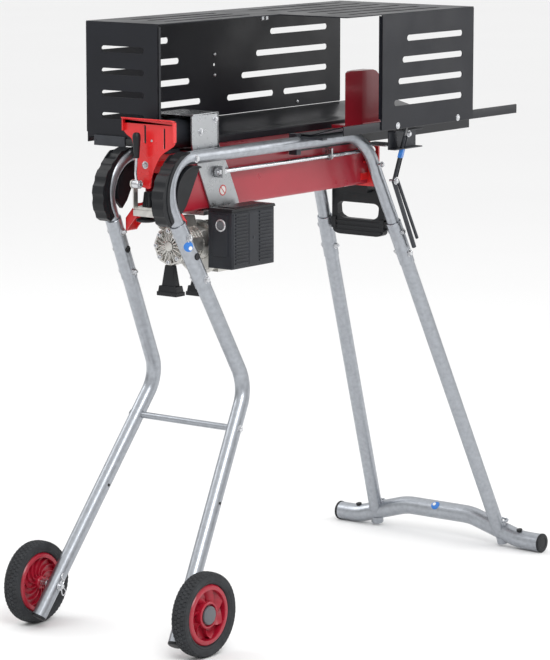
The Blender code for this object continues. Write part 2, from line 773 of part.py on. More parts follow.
def pusher():
    """Hood over the cylinder's nose, with cheeks down the beam to a keeper plate under it."""
    rear = PUSHER_FACE_X - PUSHER_LENGTH
    inner = BEAM_HALF_WIDTH + 2 * RUNNING
    outer = PUSHER_HALF_WIDTH
    face_bottom = BEAM_TOP_Z + 2 * RUNNING
    face = box(
        "pusher",
        (PUSHER_FACE_X - PUSHER_PLATE, -outer, face_bottom),
        (PUSHER_FACE_X, outer, PUSHER_TOP_Z),
    )
    top = box(
        "pusher_top", (rear, -outer, PUSHER_TOP_Z - 0.004), (PUSHER_FACE_X - 0.001, outer, PUSHER_TOP_Z)
    )
    unite(face, top)
    cheek = [
        (rear, PUSHER_TOP_Z - 0.001),
        (rear, 1.155),
        (rear + 0.016, 1.122),
        (rear + 0.081, CARRIAGE_BOTTOM_Z),
        (PUSHER_FACE_X + 0.078, CARRIAGE_BOTTOM_Z),
        (PUSHER_FACE_X + 0.078, 1.010),
        (PUSHER_FACE_X + 0.032, 1.104),
        (PUSHER_FACE_X - 0.001, 1.155),
        (PUSHER_FACE_X - 0.001, PUSHER_TOP_Z - 0.001),
    ]
    for side in (-1, 1):
        middle = side * (inner + outer) / 2
        unite(face, plate(f"pusher_cheek_{side + 1}", "y", middle, outer - inner, [cheek]))
    keeper_top = BEAM_BOTTOM_Z - 2 * RUNNING
    unite(
        face,
        box(
            "pusher_keeper",
            (rear + 0.042, -outer + 0.001, CARRIAGE_BOTTOM_Z + 0.001),
            (PUSHER_FACE_X + 0.076, outer - 0.001, keeper_top),
        ),
    )
    lug_x = STROKE_LUG_X
    lug = box(
        "stroke_lug",
        (lug_x - 0.005, STROKE_ROD_Y - 0.010, STROKE_ROD_Z - 0.014),
        (lug_x + 0.005, -inner - 0.001, STROKE_ROD_Z + 0.014),
    )
    unite(face, lug)
    cut(
        face,
        rod(
            "stroke_lug_hole",
            (lug_x - 0.03, STROKE_ROD_Y, STROKE_ROD_Z),
            (lug_x + 0.03, STROKE_ROD_Y, STROKE_ROD_Z),
            STROKE_ROD_R + GAP,
            12,
        ),
    )
    keep(face, GALVANISED)

    stop = rod(
        "stroke_rod",
        (lug_x - 0.018, STROKE_ROD_Y, STROKE_ROD_Z),
        (BEAM_REAR_X - 0.012, STROKE_ROD_Y, STROKE_ROD_Z),
        STROKE_ROD_R,
        16,
    )
    for name, x in (("stroke_nut_front", lug_x - 0.0135), ("stroke_nut_rear", lug_x + 0.0055)):
        nut = rod(name, (x, STROKE_ROD_Y, STROKE_ROD_Z), (x + 0.008, STROKE_ROD_Y, STROKE_ROD_Z), 0.010, 6)
        unite(stop, nut)
    keep(stop, BRIGHT_STEEL)


def rod_guide():
    """Eye under the near tray's flange that guides the stroke rod, clear of the pusher's cheek."""
    x = ROD_GUIDE_X
    y_in = -PUSHER_HALF_WIDTH - 2 * RUNNING
    top = BEAM_TOP_Z - TRAY_FLANGE - GAP
    outline = [
        (y_in, STROKE_ROD_Z - 0.010),
        (y_in, top),
        (STROKE_ROD_Y - 0.012, top),
        (STROKE_ROD_Y - 0.012, STROKE_ROD_Z - 0.004),
        (STROKE_ROD_Y - 0.006, STROKE_ROD_Z - 0.010),
    ]
    hole = circle(STROKE_ROD_Y, STROKE_ROD_Z, STROKE_ROD_R + RUNNING, 12)
    keep(plate("rod_guide", "x", x, 0.006, [outline, hole]), GALVANISED)


def wedge():
    """Splitting wedge: sharp upright edge, full width behind, on a base plate."""
    low = BEAM_TOP_Z + GAP
    half = 0.016
    end = WEDGE_X + WEDGE_LENGTH
    outline = [(WEDGE_X, 0.0006), (WEDGE_X + 0.050, half), (end, half)]
    outline += [(x, -y) for x, y in reversed(outline)]
    height = WEDGE_TOP_Z - low
    blade = plate("wedge", "z", low + height / 2, height, [outline])
    crown = plate(
        "wedge_crown",
        "y",
        0,
        0.2,
        [
            [
                (WEDGE_X - 0.02, WEDGE_TOP_Z - 0.014),
                (WEDGE_X + 0.030, WEDGE_TOP_Z + 0.0005),
                (WEDGE_X - 0.02, WEDGE_TOP_Z + 0.03),
            ]
        ],
    )
    back = plate(
        "wedge_back",
        "y",
        0,
        0.2,
        [[(end - 0.035, WEDGE_TOP_Z + 0.0005), (end + 0.02, WEDGE_TOP_Z - 0.055), (end + 0.02, WEDGE_TOP_Z + 0.03)]],
    )
    base = box("wedge_base", (WEDGE_X + 0.002, -0.044, low), (end, 0.044, low + 0.008))
    cut(blade, crown, back)
    unite(blade, base)
    keep(blade, RED_PAINT)


def tray(word, side, start_x, end_x):
    """Log tray beside the beam: lip, slope, level table and a flange down the beam's side."""
    outer_y = TRAY_HALF_WIDTH if side > 0 else TRAY_HALF_WIDTH - GUARD_SHEET - GAP
    flange_y = BEAM_HALF_WIDTH + TRAY_STAND_OFF
    edge_y = flange_y + TRAY_SHEET
    slope = (TRAY_OUTER_Z - TRAY_TABLE_Z) / (TRAY_HALF_WIDTH - TRAY_TABLE_Y)
    rows = [
        (flange_y, TRAY_TABLE_Z),
        (TRAY_TABLE_Y, TRAY_TABLE_Z),
        (outer_y, TRAY_OUTER_Z),
        (outer_y, TRAY_OUTER_Z - TRAY_LIP),
        (outer_y - TRAY_SHEET, TRAY_OUTER_Z - TRAY_LIP),
        (outer_y - TRAY_SHEET, TRAY_OUTER_Z - TRAY_SHEET * (1 + slope)),
        (TRAY_TABLE_Y, TRAY_TABLE_Z - TRAY_SHEET),
        (edge_y, TRAY_TABLE_Z - TRAY_SHEET),
        (edge_y, BEAM_TOP_Z - TRAY_FLANGE),
        (flange_y, BEAM_TOP_Z - TRAY_FLANGE),
    ]
    outline = [(side * y, z) for y, z in rows]
    folded = plate(f"log_tray_{word}", "x", (start_x + end_x) / 2, end_x - start_x, [outline])
    keep(folded, BLACK_SHEET)


# ----------------------------------------------------------------------- guard


def slot_heights():
    return [GUARD_TOP_Z - FIRST_SLOT_DROP - SLOT_PITCH * i for i in range(SLOT_ROWS)]


def guard():
    """Slotted sheet guard: end panel, full far panel, stepped top plate, short near panel."""
    sheet = GUARD_SHEET
    under_top = GUARD_TOP_Z - sheet - GAP
    far_in = TRAY_HALF_WIDTH - sheet
    tray_top = TRAY_OUTER_Z + GAP
    heights = slot_heights()

    end_holes = [slot(0.034, 0.165, z) for z in heights]
    end_outline = rectangle(GUARD_NARROW_EDGE_Y, tray_top - 0.011, far_in - GAP, under_top)
    end = plate("guard_end_panel", "x", GUARD_FRONT_X - sheet / 2, sheet, [end_outline, *end_holes])
    keep(end, BLACK_SHEET)

    left_ends = (0.454, 0.496, 0.538, 0.581)
    right_starts = (0.867, 0.808, 0.747, 0.688)
    far_holes = [slot(0.200, x, z) for x, z in zip(left_ends, heights)]
    far_holes += [slot(x, 1.113, z) for x, z in zip(right_starts[:-1], heights)]
    far_holes += [slot(0.688, 0.881, heights[-1]), slot(0.924, 1.113, heights[-1])]
    far_outline = rectangle(GUARD_FRONT_X - sheet, tray_top, GUARD_REAR_X, under_top)
    far = plate("guard_far_panel", "y", TRAY_HALF_WIDTH - sheet / 2, sheet, [far_outline, *far_holes])
    keep(far, BLACK_SHEET)

    near_starts = (0.875, 0.856, 0.839, 0.821)
    near_holes = [slot(x, 1.122, z) for x, z in zip(near_starts, heights)]
    near_outline = rectangle(GUARD_NEAR_START_X, NEAR_PANEL_BOTTOM_Z, GUARD_REAR_X, under_top)
    near = plate(
        "guard_near_panel", "y", -TRAY_HALF_WIDTH + sheet / 2, sheet, [near_outline, *near_holes]
    )
    keep(near, BLACK_SHEET)

    top_outline = [
        (GUARD_FRONT_X - sheet, TRAY_HALF_WIDTH),
        (GUARD_FRONT_X - sheet, GUARD_NARROW_EDGE_Y),
        (GUARD_WIDE_FROM_X, GUARD_NARROW_EDGE_Y),
        (GUARD_WIDE_FROM_X, -TRAY_HALF_WIDTH),
        (GUARD_REAR_X, -TRAY_HALF_WIDTH),
        (GUARD_REAR_X, TRAY_HALF_WIDTH),
    ]
    top_holes = [slot(0.235, 0.560, y) for y in (0.040, 0.092, 0.144)]
    top_holes += [slot(0.705, 1.095, -0.155 + 0.062 * i) for i in range(6)]
    top = plate("guard_top_plate", "z", GUARD_TOP_Z - sheet / 2, sheet, [top_outline, *top_holes])
    keep(top, BLACK_SHEET)


def tray_struts():
    """Folding strut that carries the near tray from the rear near tube."""
    top = Vector((0.925, -0.176, TRAY_OUTER_Z - TRAY_LIP - 0.008))
    pivot = Vector((0.914, -0.146, 1.016))
    direction = (pivot - top).normalized()
    upper = box("tray_strut", (-0.010, -0.003, -0.004), (0.010, 0.003, (pivot - top).length + 0.004))
    upper.location = top
    upper.data.transform(Matrix.Translation(Vector((0, 0, (pivot - top).length / 2))))
    upper.rotation_euler = direction.to_track_quat("Z", "Y").to_euler()
    keep(upper, DARK_STEEL)
    lower_end = Vector((1.004, -0.148, 0.838))
    lower = rod("strut_arm", along(pivot, lower_end, 0.012), lower_end, 0.006, 12)
    keep(lower, DARK_STEEL)


# ------------------------------------------------------------------ power unit


def gear_outline(u, v, first_tooth):
    """A coarse gear outline of straight-sided teeth, one of them centred on first_tooth."""
    pitch = 2 * math.pi / GEAR_TEETH
    corners = ((-0.21, GEAR_ROOT_R), (-0.085, GEAR_TIP_R), (0.085, GEAR_TIP_R), (0.21, GEAR_ROOT_R))
    points = []
    for tooth in range(GEAR_TEETH):
        for share, radius in corners:
            angle = first_tooth + pitch * (tooth + share)
            points.append((u + radius * math.cos(angle), v + radius * math.sin(angle)))
    return points


def gear(name, z, x_low, x_high, shaft_to, first_tooth):
    """A pump gear on its shaft, about the X axis at this height."""
    middle = (x_low + x_high) / 2
    wheel_piece = plate(name, "x", middle, x_high - x_low, [gear_outline(MOTOR_Y, z, first_tooth)])
    shaft = rod(
        name + "_shaft", (x_low - 0.006, MOTOR_Y, z), (shaft_to, MOTOR_Y, z), GEAR_SHAFT_R, 16
    )
    unite(wheel_piece, shaft)
    return wheel_piece


def power_unit():
    """Gear pump, mounting flange and electric motor on one axis along X."""
    flange_x = MOTOR_FRONT_X - FLANGE_THICKNESS - GAP
    pump_back = flange_x - GAP
    driven_z = MOTOR_Z + GEAR_SPACING
    pump_z = (MOTOR_Z + driven_z) / 2
    cavity_low, cavity_high = PUMP_FRONT_X + PUMP_COVER_THICKNESS + GAP, PUMP_FRONT_X + 0.056
    x_low, x_high = cavity_low + 0.0015, cavity_high - 0.0015

    housing = rod(
        "pump_housing",
        (cavity_low, MOTOR_Y, pump_z),
        (pump_back, MOTOR_Y, pump_z),
        PUMP_R,
        32,
    )
    for name, z in (("drive", MOTOR_Z), ("driven", driven_z)):
        chamber = rod(
            f"pump_chamber_{name}",
            (cavity_low - 0.01, MOTOR_Y, z),
            (cavity_high, MOTOR_Y, z),
            GEAR_TIP_R + RUNNING,
            24,
        )
        cut(housing, chamber)
    bore = rod(
        "pump_bore", (cavity_high - 0.001, MOTOR_Y, MOTOR_Z), (pump_back + 0.01, MOTOR_Y, MOTOR_Z), GEAR_SHAFT_R + RUNNING, 16
    )
    cut(housing, bore)
    neck = box(
        "pump_neck",
        (cavity_low + 0.004, MOTOR_Y - 0.014, pump_z + PUMP_R - 0.006),
        (pump_back - 0.012, MOTOR_Y + 0.014, BEAM_BOTTOM_Z - 0.014),
    )
    unite(housing, neck)
    keep(housing, CAST_ALLOY)

    cover = rod(
        "pump_cover",
        (PUMP_FRONT_X, MOTOR_Y, pump_z),
        (PUMP_FRONT_X + PUMP_COVER_THICKNESS, MOTOR_Y, pump_z),
        PUMP_R,
        32,
    )
    for name, z in (("drive", MOTOR_Z), ("driven", driven_z)):
        recess = rod(
            f"cover_recess_{name}",
            (PUMP_FRONT_X + PUMP_COVER_THICKNESS - 0.0065, MOTOR_Y, z),
            (PUMP_FRONT_X + PUMP_COVER_THICKNESS + 0.01, MOTOR_Y, z),
            GEAR_SHAFT_R + RUNNING,
            16,
        )
        cut(cover, recess)
    keep(cover, CAST_ALLOY)

    half_pitch = math.pi / GEAR_TEETH
    drive_gear = gear(
        "drive_gear", MOTOR_Z, x_low, x_high, MOTOR_FRONT_X + 0.002, half_pitch + math.pi / 2
    )
    driven_gear = gear("driven_gear", driven_z, x_low, x_high, x_high + 0.0005, -math.pi / 2)
    keep(driven_gear, BRIGHT_STEEL, ((x_low + x_high) / 2, MOTOR_Y, driven_z))

    flange_end = flange_x + FLANGE_THICKNESS
    flange = rod("motor_flange", (flange_x, MOTOR_Y, MOTOR_Z), (flange_end, MOTOR_Y, MOTOR_Z), FLANGE_R, 40)
    cut(
        flange,
        rod(
            "flange_bore",
            (flange_x - 0.01, MOTOR_Y, MOTOR_Z),
            (flange_end + 0.01, MOTOR_Y, MOTOR_Z),
            0.0125,
            20,
        ),
    )
    keep(flange, CAST_ALLOY)

    motor_end = MOTOR_FRONT_X + MOTOR_LENGTH
    housing = turned(
        "motor_housing",
        (MOTOR_FRONT_X, MOTOR_Y, MOTOR_Z),
        (1, 0, 0),
        [
            (0.0125, MOTOR_LENGTH),
            (MOTOR_R * 0.82, MOTOR_LENGTH),
            (MOTOR_R, MOTOR_LENGTH - 0.012),
            (MOTOR_R, 0),
            (0.0125, 0),
            (0.0125, 0.008),
            (MOTOR_R - MOTOR_WALL, 0.008),
            (MOTOR_R - MOTOR_WALL, MOTOR_LENGTH - 0.016),
            (0.0125, MOTOR_LENGTH - 0.016),
        ],
        40,
        ring=True,
    )
    keep(housing, DARK_STEEL)
    rotor = rod(
        "motor_rotor",
        (MOTOR_FRONT_X + 0.014, MOTOR_Y, MOTOR_Z),
        (motor_end - 0.060, MOTOR_Y, MOTOR_Z),
        0.036,
        24,
    )
    shaft = rod(
        "rotor_shaft", (MOTOR_FRONT_X - 0.0115, MOTOR_Y, MOTOR_Z), (motor_end - 0.004, MOTOR_Y, MOTOR_Z), 0.0075, 16
    )
    fan = rod("rotor_fan", (motor_end - 0.042, MOTOR_Y, MOTOR_Z), (motor_end - 0.026, MOTOR_Y, MOTOR_Z), 0.050, 24)
    unite(rotor, shaft, fan, drive_gear)
    keep(rotor, DARK_STEEL, (MOTOR_FRONT_X, MOTOR_Y, MOTOR_Z))

    for word, x_mid, z_top in (("front", 0.187, pump_z - PUMP_R), ("rear", 0.291, MOTOR_Z - FLANGE_R)):
        low = 0.800 if word == "front" else 0.787
        width = 0.034 if word == "front" else 0.022
        base = box(
            f"pump_foot_{word}",
            (x_mid - width / 2, MOTOR_Y - 0.030, low),
            (x_mid + width / 2, MOTOR_Y + 0.030, low + 0.024),
            0.003,
        )
        stem = box(
            f"pump_stem_{word}",
            (x_mid - 0.006, MOTOR_Y - 0.010, low + 0.02),
            (x_mid + 0.006, MOTOR_Y + 0.010, z_top - GAP),
        )
        unite(base, stem)
        keep(base, BLACK_PLASTIC)


def switch_box():
    """Switch box on the motor's near side, with a start button on its control-end face."""
    low, high = Vector(BOX_LOW), Vector(BOX_HIGH)
    case = box("switch_box", low, high, 0.004)
    button = Vector((low.x, (low.y + high.y) / 2 - 0.004, high.z - 0.032))
    well = rod("button_well", button - Vector((0.01, 0, 0)), button + Vector((0.010, 0, 0)), BUTTON_R + RUNNING, 20)
    motor_clear = rod(
        "box_motor_cut",
        (MOTOR_FRONT_X - 0.02, MOTOR_Y, MOTOR_Z),
        (MOTOR_FRONT_X + MOTOR_LENGTH + 0.02, MOTOR_Y, MOTOR_Z),
        MOTOR_R + GAP,
        40,
    )
    cut(case, well, motor_clear)
    keep(case, BLACK_PLASTIC)
    key = rod("start_button", button + Vector((-0.0035, 0, 0)), button + Vector((0.0045, 0, 0)), BUTTON_R, 20)
    keep(key, GREY_PLASTIC, button)
    lid = box(
        "switch_box_lid",
        (low.x - 0.002, low.y - 0.002, high.z + GAP),
        (high.x + 0.002, high.y - 0.002, high.z + 0.008),
        0.002,
    )
    keep(lid, BLACK_PLASTIC)
    inlet_z = (low.z + high.z) / 2 - 0.010
    inlet = rod(
        "power_inlet",
        (high.x + GAP, low.y + 0.034, inlet_z),
        (high.x + 0.020, low.y + 0.034, inlet_z),
        0.016,
        20,
    )
    cut(
        inlet,
        rod(
            "inlet_well",
            (high.x + 0.006, low.y + 0.034, inlet_z),
            (high.x + 0.03, low.y + 0.034, inlet_z),
            0.0125,
            16,
        ),
    )
    keep(inlet, BLACK_PLASTIC)


# -------------------------------------------------------------------- controls


def controls():
    """Valve block, its spool, the lever that works it and the red guard behind the lever."""
    block = box("valve_block", VALVE_LOW, VALVE_HIGH, 0.002)
    bore = rod(
        "spool_bore",
        (SPOOL_X, SPOOL_Y, VALVE_LOW[2] - 0.01),
        (SPOOL_X, SPOOL_Y, VALVE_HIGH[2] + 0.01),
        SPOOL_R + RUNNING,
        16,
    )
    pivot = Vector(LEVER_PIVOT)
    ear_y = LEVER_HUB_HALF + RUNNING
    ear = box(
        "lever_ear",
        (pivot.x, ear_y, VALVE_HIGH[2] - 0.004),
        (pivot.x + 0.016, ear_y + LEVER_EAR, pivot.z),
    )
    eye = rod("lever_eye", (pivot.x, ear_y, pivot.z), (pivot.x, ear_y + LEVER_EAR, pivot.z), 0.011, 20)
    eye_hole = rod(
        "lever_eye_hole",
        (pivot.x, ear_y - 0.01, pivot.z),
        (pivot.x, ear_y + 0.02, pivot.z),
        LEVER_PIN_R + RUNNING,
        16,
    )
    unite(block, ear, eye)
    cut(block, bore, eye_hole)
    keep(block, CAST_ALLOY)
    spool = rod(
        "valve_spool",
        (SPOOL_X, SPOOL_Y, VALVE_LOW[2] - 0.008),
        (SPOOL_X, SPOOL_Y, VALVE_HIGH[2] + 0.012),
        SPOOL_R,
        16,
    )
    cap = turned(
        "spool_knob",
        (SPOOL_X, SPOOL_Y, VALVE_LOW[2] - 0.018),
        (0, 0, 1),
        [(0, 0.011), (0.014, 0.011), (0.016, 0.006), (0.024, 0.004), (0.024, 0), (0, 0)],
        24,
    )
    unite(spool, cap)
    keep(spool, BLACK_PLASTIC)

    filler = turned(
        "oil_filler_cap",
        (SPOOL_X - 0.014, SPOOL_Y - 0.020, VALVE_HIGH[2] + GAP),
        (0, 0, 1),
        [(0, 0.035), (0.011, 0.035), (0.0145, 0.003), (0.0145, 0), (0, 0)],
        24,
    )
    keep(filler, BLACK_PLASTIC)

    reach = Vector((0, LEVER_HUB_HALF, 0))
    hub = rod("control_lever", pivot - reach, pivot + reach, 0.010, 20)
    pin_end = pivot + reach + Vector((0, RUNNING + LEVER_EAR + 0.002, 0))
    pin = rod("lever_pin", pivot - reach - Vector((0, 0.004, 0)), pin_end, LEVER_PIN_R, 16)
    stem_top = (pivot.x, pivot.y, LEVER_GRIP_BOTTOM_Z + LEVER_ROD_DEPTH)
    stem = rod("lever_stem", pivot, stem_top, LEVER_ROD_R, 12)
    unite(hub, stem, pin)
    keep(hub, BRIGHT_STEEL, pivot)
    grip_length = LEVER_TOP_Z - LEVER_GRIP_BOTTOM_Z
    grip_profile = [
        (0, grip_length),
        (LEVER_GRIP_R * 0.7, grip_length - 0.002),
        (LEVER_GRIP_R, grip_length - 0.010),
        (LEVER_GRIP_R * 0.85, 0.002),
        (LEVER_GRIP_R * 0.6, 0),
        (LEVER_ROD_R + GAP, 0),
        (LEVER_ROD_R + GAP, LEVER_ROD_DEPTH + GAP),
        (0, LEVER_ROD_DEPTH + GAP),
    ]
    grip_foot = (pivot.x, pivot.y, LEVER_GRIP_BOTTOM_Z)
    grip = turned("lever_grip", grip_foot, (0, 0, 1), grip_profile, 20)
    keep(grip, BLACK_PLASTIC, pivot)

    x = LEVER_GUARD_X
    outline = [
        (0.056, 1.228),
        (0.062, 1.200),
        (0.050, 1.187),
        (0.034, 1.180),
        (0.028, 1.140),
        (0.022, 1.092),
        (0.011, 1.066),
        (-0.020, 1.062),
        (-0.024, 1.090),
        (-0.034, 1.112),
        (-0.052, 1.144),
        (-0.094, 1.168),
        (-0.096, 1.210),
        (-0.048, 1.228),
    ]
    guide_slot = slot_upright(-0.005, 1.172, 1.212, 0.006)
    side_slot = slot_upright(-0.063, 1.166, 1.209, 0.006)
    red = plate("lever_guard", "x", x, LEVER_GUARD_SHEET, [outline, guide_slot, side_slot])
    tab = box("guard_tab", (x, -0.016, 1.112), (BEAM_FRONT_X - GAP - 0.001, 0.004, 1.124))
    seat = box(
        "guard_seat",
        (BEAM_FRONT_X - GAP - 0.004, -BEAM_HALF_WIDTH + 0.001, 1.092),
        (BEAM_FRONT_X - GAP, BEAM_HALF_WIDTH - 0.001, BEAM_TOP_Z - 0.001),
    )
    unite(red, tab, seat)
    keep(red, RED_PAINT)


def slot_upright(u, v_low, v_high, width):
    """A slot along the outline's second direction."""
    return [(u + b, a) for a, b in slot(v_low, v_high, 0, width)]


for word, side in SIDES:
    side_frame(word, side)
    front_leg(word, side)
    rear_leg(word, side)
    wheel(word, side)
    corner_fittings(word, side)
leg_cross_tube()
foot()
main_beam()
beam_end_plate()
front_cross_bracket()
rear_handle()
cylinder_group()
pusher()
rod_guide()
wedge()
tray("far", 1, FAR_TRAY_START_X, TRAY_END_X)
tray("near", -1, NEAR_TRAY_START_X, TRAY_END_X)
guard()
tray_struts()
power_unit()
switch_box()
controls()
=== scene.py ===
"""Looks of the log splitter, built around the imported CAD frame.

Lengths are in metres. Points are written in the design frame, whose X = 0 is the wheel
axle, and Form.done moves them into the CAD row frame. -Y is the operator's side.
"""

import math

import bmesh
import bpy
from mathutils import Matrix, Vector


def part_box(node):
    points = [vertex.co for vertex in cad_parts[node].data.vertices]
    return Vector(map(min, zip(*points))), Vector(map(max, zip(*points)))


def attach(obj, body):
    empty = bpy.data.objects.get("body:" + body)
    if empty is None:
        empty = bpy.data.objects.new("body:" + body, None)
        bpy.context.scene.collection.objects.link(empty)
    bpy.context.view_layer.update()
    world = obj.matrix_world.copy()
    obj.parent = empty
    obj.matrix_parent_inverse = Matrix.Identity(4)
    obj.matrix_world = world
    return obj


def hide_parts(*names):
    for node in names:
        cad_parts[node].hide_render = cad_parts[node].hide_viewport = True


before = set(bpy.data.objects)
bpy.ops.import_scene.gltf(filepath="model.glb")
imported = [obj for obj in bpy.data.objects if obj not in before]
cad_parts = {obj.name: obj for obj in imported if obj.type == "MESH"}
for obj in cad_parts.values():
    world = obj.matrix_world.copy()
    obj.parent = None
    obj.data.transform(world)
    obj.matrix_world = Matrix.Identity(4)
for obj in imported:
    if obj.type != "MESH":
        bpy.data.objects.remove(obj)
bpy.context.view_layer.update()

SIDES = (("near", -1), ("far", 1))
AXLE_X = sum(corner[0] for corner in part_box("tyre_near")) / 2
SHIFT = Vector((AXLE_X, 0, 0))


def in_scene(name, data):
    """A new object in the scene's own collection."""
    thing = bpy.data.objects.new(name, data)
    bpy.context.scene.collection.objects.link(thing)
    return thing


# ------------------------------------------------------------------- materials


def ramp(tree, value, stops):
    """A colour that runs through (place, colour) stops as value rises."""
    node = tree.nodes.new("ShaderNodeValToRGB")
    elements = node.color_ramp.elements
    elements[0].position, elements[0].color = stops[0][0], (*stops[0][1], 1)
    elements[1].position, elements[1].color = stops[-1][0], (*stops[-1][1], 1)
    for place, colour in stops[1:-1]:
        elements.new(place).color = (*colour, 1)
    tree.links.new(value, node.inputs["Fac"])
    return node.outputs["Color"]


def ranged(tree, value, low, high, to_low=0.0, to_high=1.0):
    """The value, moved from the range low to high into another range."""
    node = tree.nodes.new("ShaderNodeMapRange")
    for word, limit in (("From Min", low), ("From Max", high), ("To Min", to_low), ("To Max", to_high)):
        node.inputs[word].default_value = limit
    tree.links.new(value, node.inputs["Value"])
    return node.outputs["Result"]


class Look:
    """A Principled material whose colour, roughness and bump come from noise, and the slot it fills."""

    def __init__(self, name, slot, colour, roughness, metallic=0.0, **sockets):
        self.slot = slot
        self.material = bpy.data.materials.new(name)
        self.material.use_nodes = True
        self.tree = self.material.node_tree
        self.shader = self.tree.nodes["Principled BSDF"]
        self.shader.inputs["Base Color"].default_value = (*colour, 1)
        self.shader.inputs["Roughness"].default_value = roughness
        self.shader.inputs["Metallic"].default_value = metallic
        for socket, value in sockets.items():
            self.shader.inputs[socket.replace("_", " ")].default_value = value
        self.colour = colour
        self.roughness = roughness
        self.place = self.tree.nodes.new("ShaderNodeTexCoord").outputs["Object"]

    def link(self, a, b):
        self.tree.links.new(a, b)

    def stretched(self, scale):
        """The place, stretched along each axis."""
        mapping = self.tree.nodes.new("ShaderNodeMapping")
        mapping.inputs["Scale"].default_value = scale
        self.link(self.place, mapping.inputs["Vector"])
        return mapping.outputs["Vector"]

    def noise(self, scale, detail, stretch=None, kind="ShaderNodeTexNoise"):
        node = self.tree.nodes.new(kind)
        node.inputs["Scale"].default_value = scale
        if "Detail" in node.inputs:
            node.inputs["Detail"].default_value = detail
        self.link(self.stretched(stretch) if stretch else self.place, node.inputs["Vector"])
        return node

    def mottle(self, scale, spread, stretch=None, kind="ShaderNodeTexNoise", low=0.3, high=0.7):
        """Colour that varies by spread, as a share of itself."""
        node = self.noise(scale, 5.0, stretch, kind)
        dark = [c * (1 - spread) for c in self.colour]
        light = [min(1, c * (1 + spread)) for c in self.colour]
        colour = ramp(self.tree, node.outputs[0], ((low, dark), (high, light)))
        self.link(colour, self.shader.inputs["Base Color"])
        return self

    def patchy(self, scale, spread):
        """Roughness that varies by spread either way."""
        node = self.noise(scale, 3.0)
        smooth, rough = max(0.02, self.roughness - spread), min(1.0, self.roughness + spread)
        result = ranged(self.tree, node.outputs[0], 0.3, 0.7, smooth, rough)
        self.link(result, self.shader.inputs["Roughness"])
        return self

    def bumpy(self, scale, strength, depth, stretch=None):
        node = self.noise(scale, 3.0, stretch)
        bump = self.tree.nodes.new("ShaderNodeBump")
        bump.inputs["Strength"].default_value = strength
        bump.inputs["Distance"].default_value = depth
        self.link(node.outputs[0], bump.inputs["Height"])
        self.link(bump.outputs["Normal"], self.shader.inputs["Normal"])
        return self


VORONOI = "ShaderNodeTexVoronoi"
GALVANISED = (
    Look("galvanised", "galvanised", (0.36, 0.38, 0.41), 0.34, 0.92)
    .mottle(95, 0.1)
    .patchy(48, 0.06)
    .bumpy(140, 0.18, 0.0006)
)
GALVANISED_SHEET = (
    Look("galvanised_sheet", "galvanised", (0.33, 0.34, 0.35), 0.3, 0.92)
    .mottle(70, 0.24, kind=VORONOI, low=0.05, high=0.75)
    .patchy(40, 0.1)
    .bumpy(90, 0.15, 0.0006)
)
RED = (
    Look("red_paint", "red_paint", (0.34, 0.012, 0.026), 0.32, Coat_Weight=0.35, Coat_Roughness=0.12)
    .mottle(9, 0.08)
    .patchy(12, 0.05)
    .bumpy(420, 0.12, 0.0003)
)
BRIGHT_RED = (
    Look("bright_red_paint", "red_paint", (0.62, 0.014, 0.016), 0.3, Coat_Weight=0.3, Coat_Roughness=0.15)
    .mottle(12, 0.07)
    .patchy(14, 0.05)
    .bumpy(420, 0.12, 0.0003)
)
BLACK_SHEET = (
    Look("black_sheet", "black_sheet", (0.006, 0.007, 0.011), 0.4, Specular_IOR_Level=0.3)
    .mottle(7, 0.2)
    .patchy(9, 0.07)
    .bumpy(520, 0.16, 0.0003)
)
TRAY_SHEET = (
    Look("tray_sheet", "black_sheet", (0.008, 0.009, 0.013), 0.34, Specular_IOR_Level=0.4)
    .mottle(8, 0.2)
    .patchy(10, 0.06)
    .bumpy(480, 0.12, 0.0003)
)
BLACK_PLASTIC = (
    Look("black_plastic", "black_plastic", (0.007, 0.008, 0.01), 0.44, Specular_IOR_Level=0.32)
    .mottle(30, 0.18)
    .patchy(25, 0.07)
    .bumpy(900, 0.35, 0.0003)
)
BOX_PLASTIC = (
    Look("box_plastic", "black_plastic", (0.013, 0.015, 0.02), 0.42, Specular_IOR_Level=0.38)
    .mottle(30, 0.14)
    .patchy(25, 0.06)
    .bumpy(900, 0.3, 0.0003)
)
GREY_PLASTIC = (
    Look("grey_plastic", "grey_plastic", (0.1, 0.105, 0.115), 0.45)
    .mottle(40, 0.1)
    .patchy(30, 0.05)
    .bumpy(800, 0.25, 0.0002)
)
RED_PLASTIC = (
    Look("red_plastic", "red_plastic", (0.33, 0.006, 0.022), 0.32, Coat_Weight=0.15, Coat_Roughness=0.2)
    .mottle(14, 0.1)
    .patchy(25, 0.06)
    .bumpy(600, 0.12, 0.0002)
)
RUBBER = (
    Look("tyre_rubber", "tyre_rubber", (0.022, 0.024, 0.027), 0.68, Specular_IOR_Level=0.35)
    .mottle(60, 0.25)
    .patchy(40, 0.08)
    .bumpy(700, 0.4, 0.0004)
)
CAST = (
    Look("cast_alloy", "cast_alloy", (0.6, 0.59, 0.56), 0.42, 0.9)
    .mottle(60, 0.16)
    .patchy(60, 0.1)
    .bumpy(520, 0.45, 0.0005)
)
DARK_STEEL = (
    Look("dark_steel", "dark_steel", (0.03, 0.033, 0.04), 0.34, 0.3)
    .mottle(26, 0.2)
    .patchy(22, 0.08)
    .bumpy(500, 0.15, 0.0003)
)
STEEL = (
    Look("bright_steel", "bright_steel", (0.62, 0.63, 0.65), 0.22, 1.0)
    .mottle(30, 0.1, (1, 12, 12))
    .patchy(60, 0.07)
    .bumpy(260, 0.12, 0.0002, (1, 14, 14))
)
ZINC = (
    Look("zinc_bolts", "bright_steel", (0.6, 0.61, 0.63), 0.28, 0.95)
    .mottle(120, 0.14)
    .patchy(90, 0.08)
    .bumpy(400, 0.15, 0.0002)
)
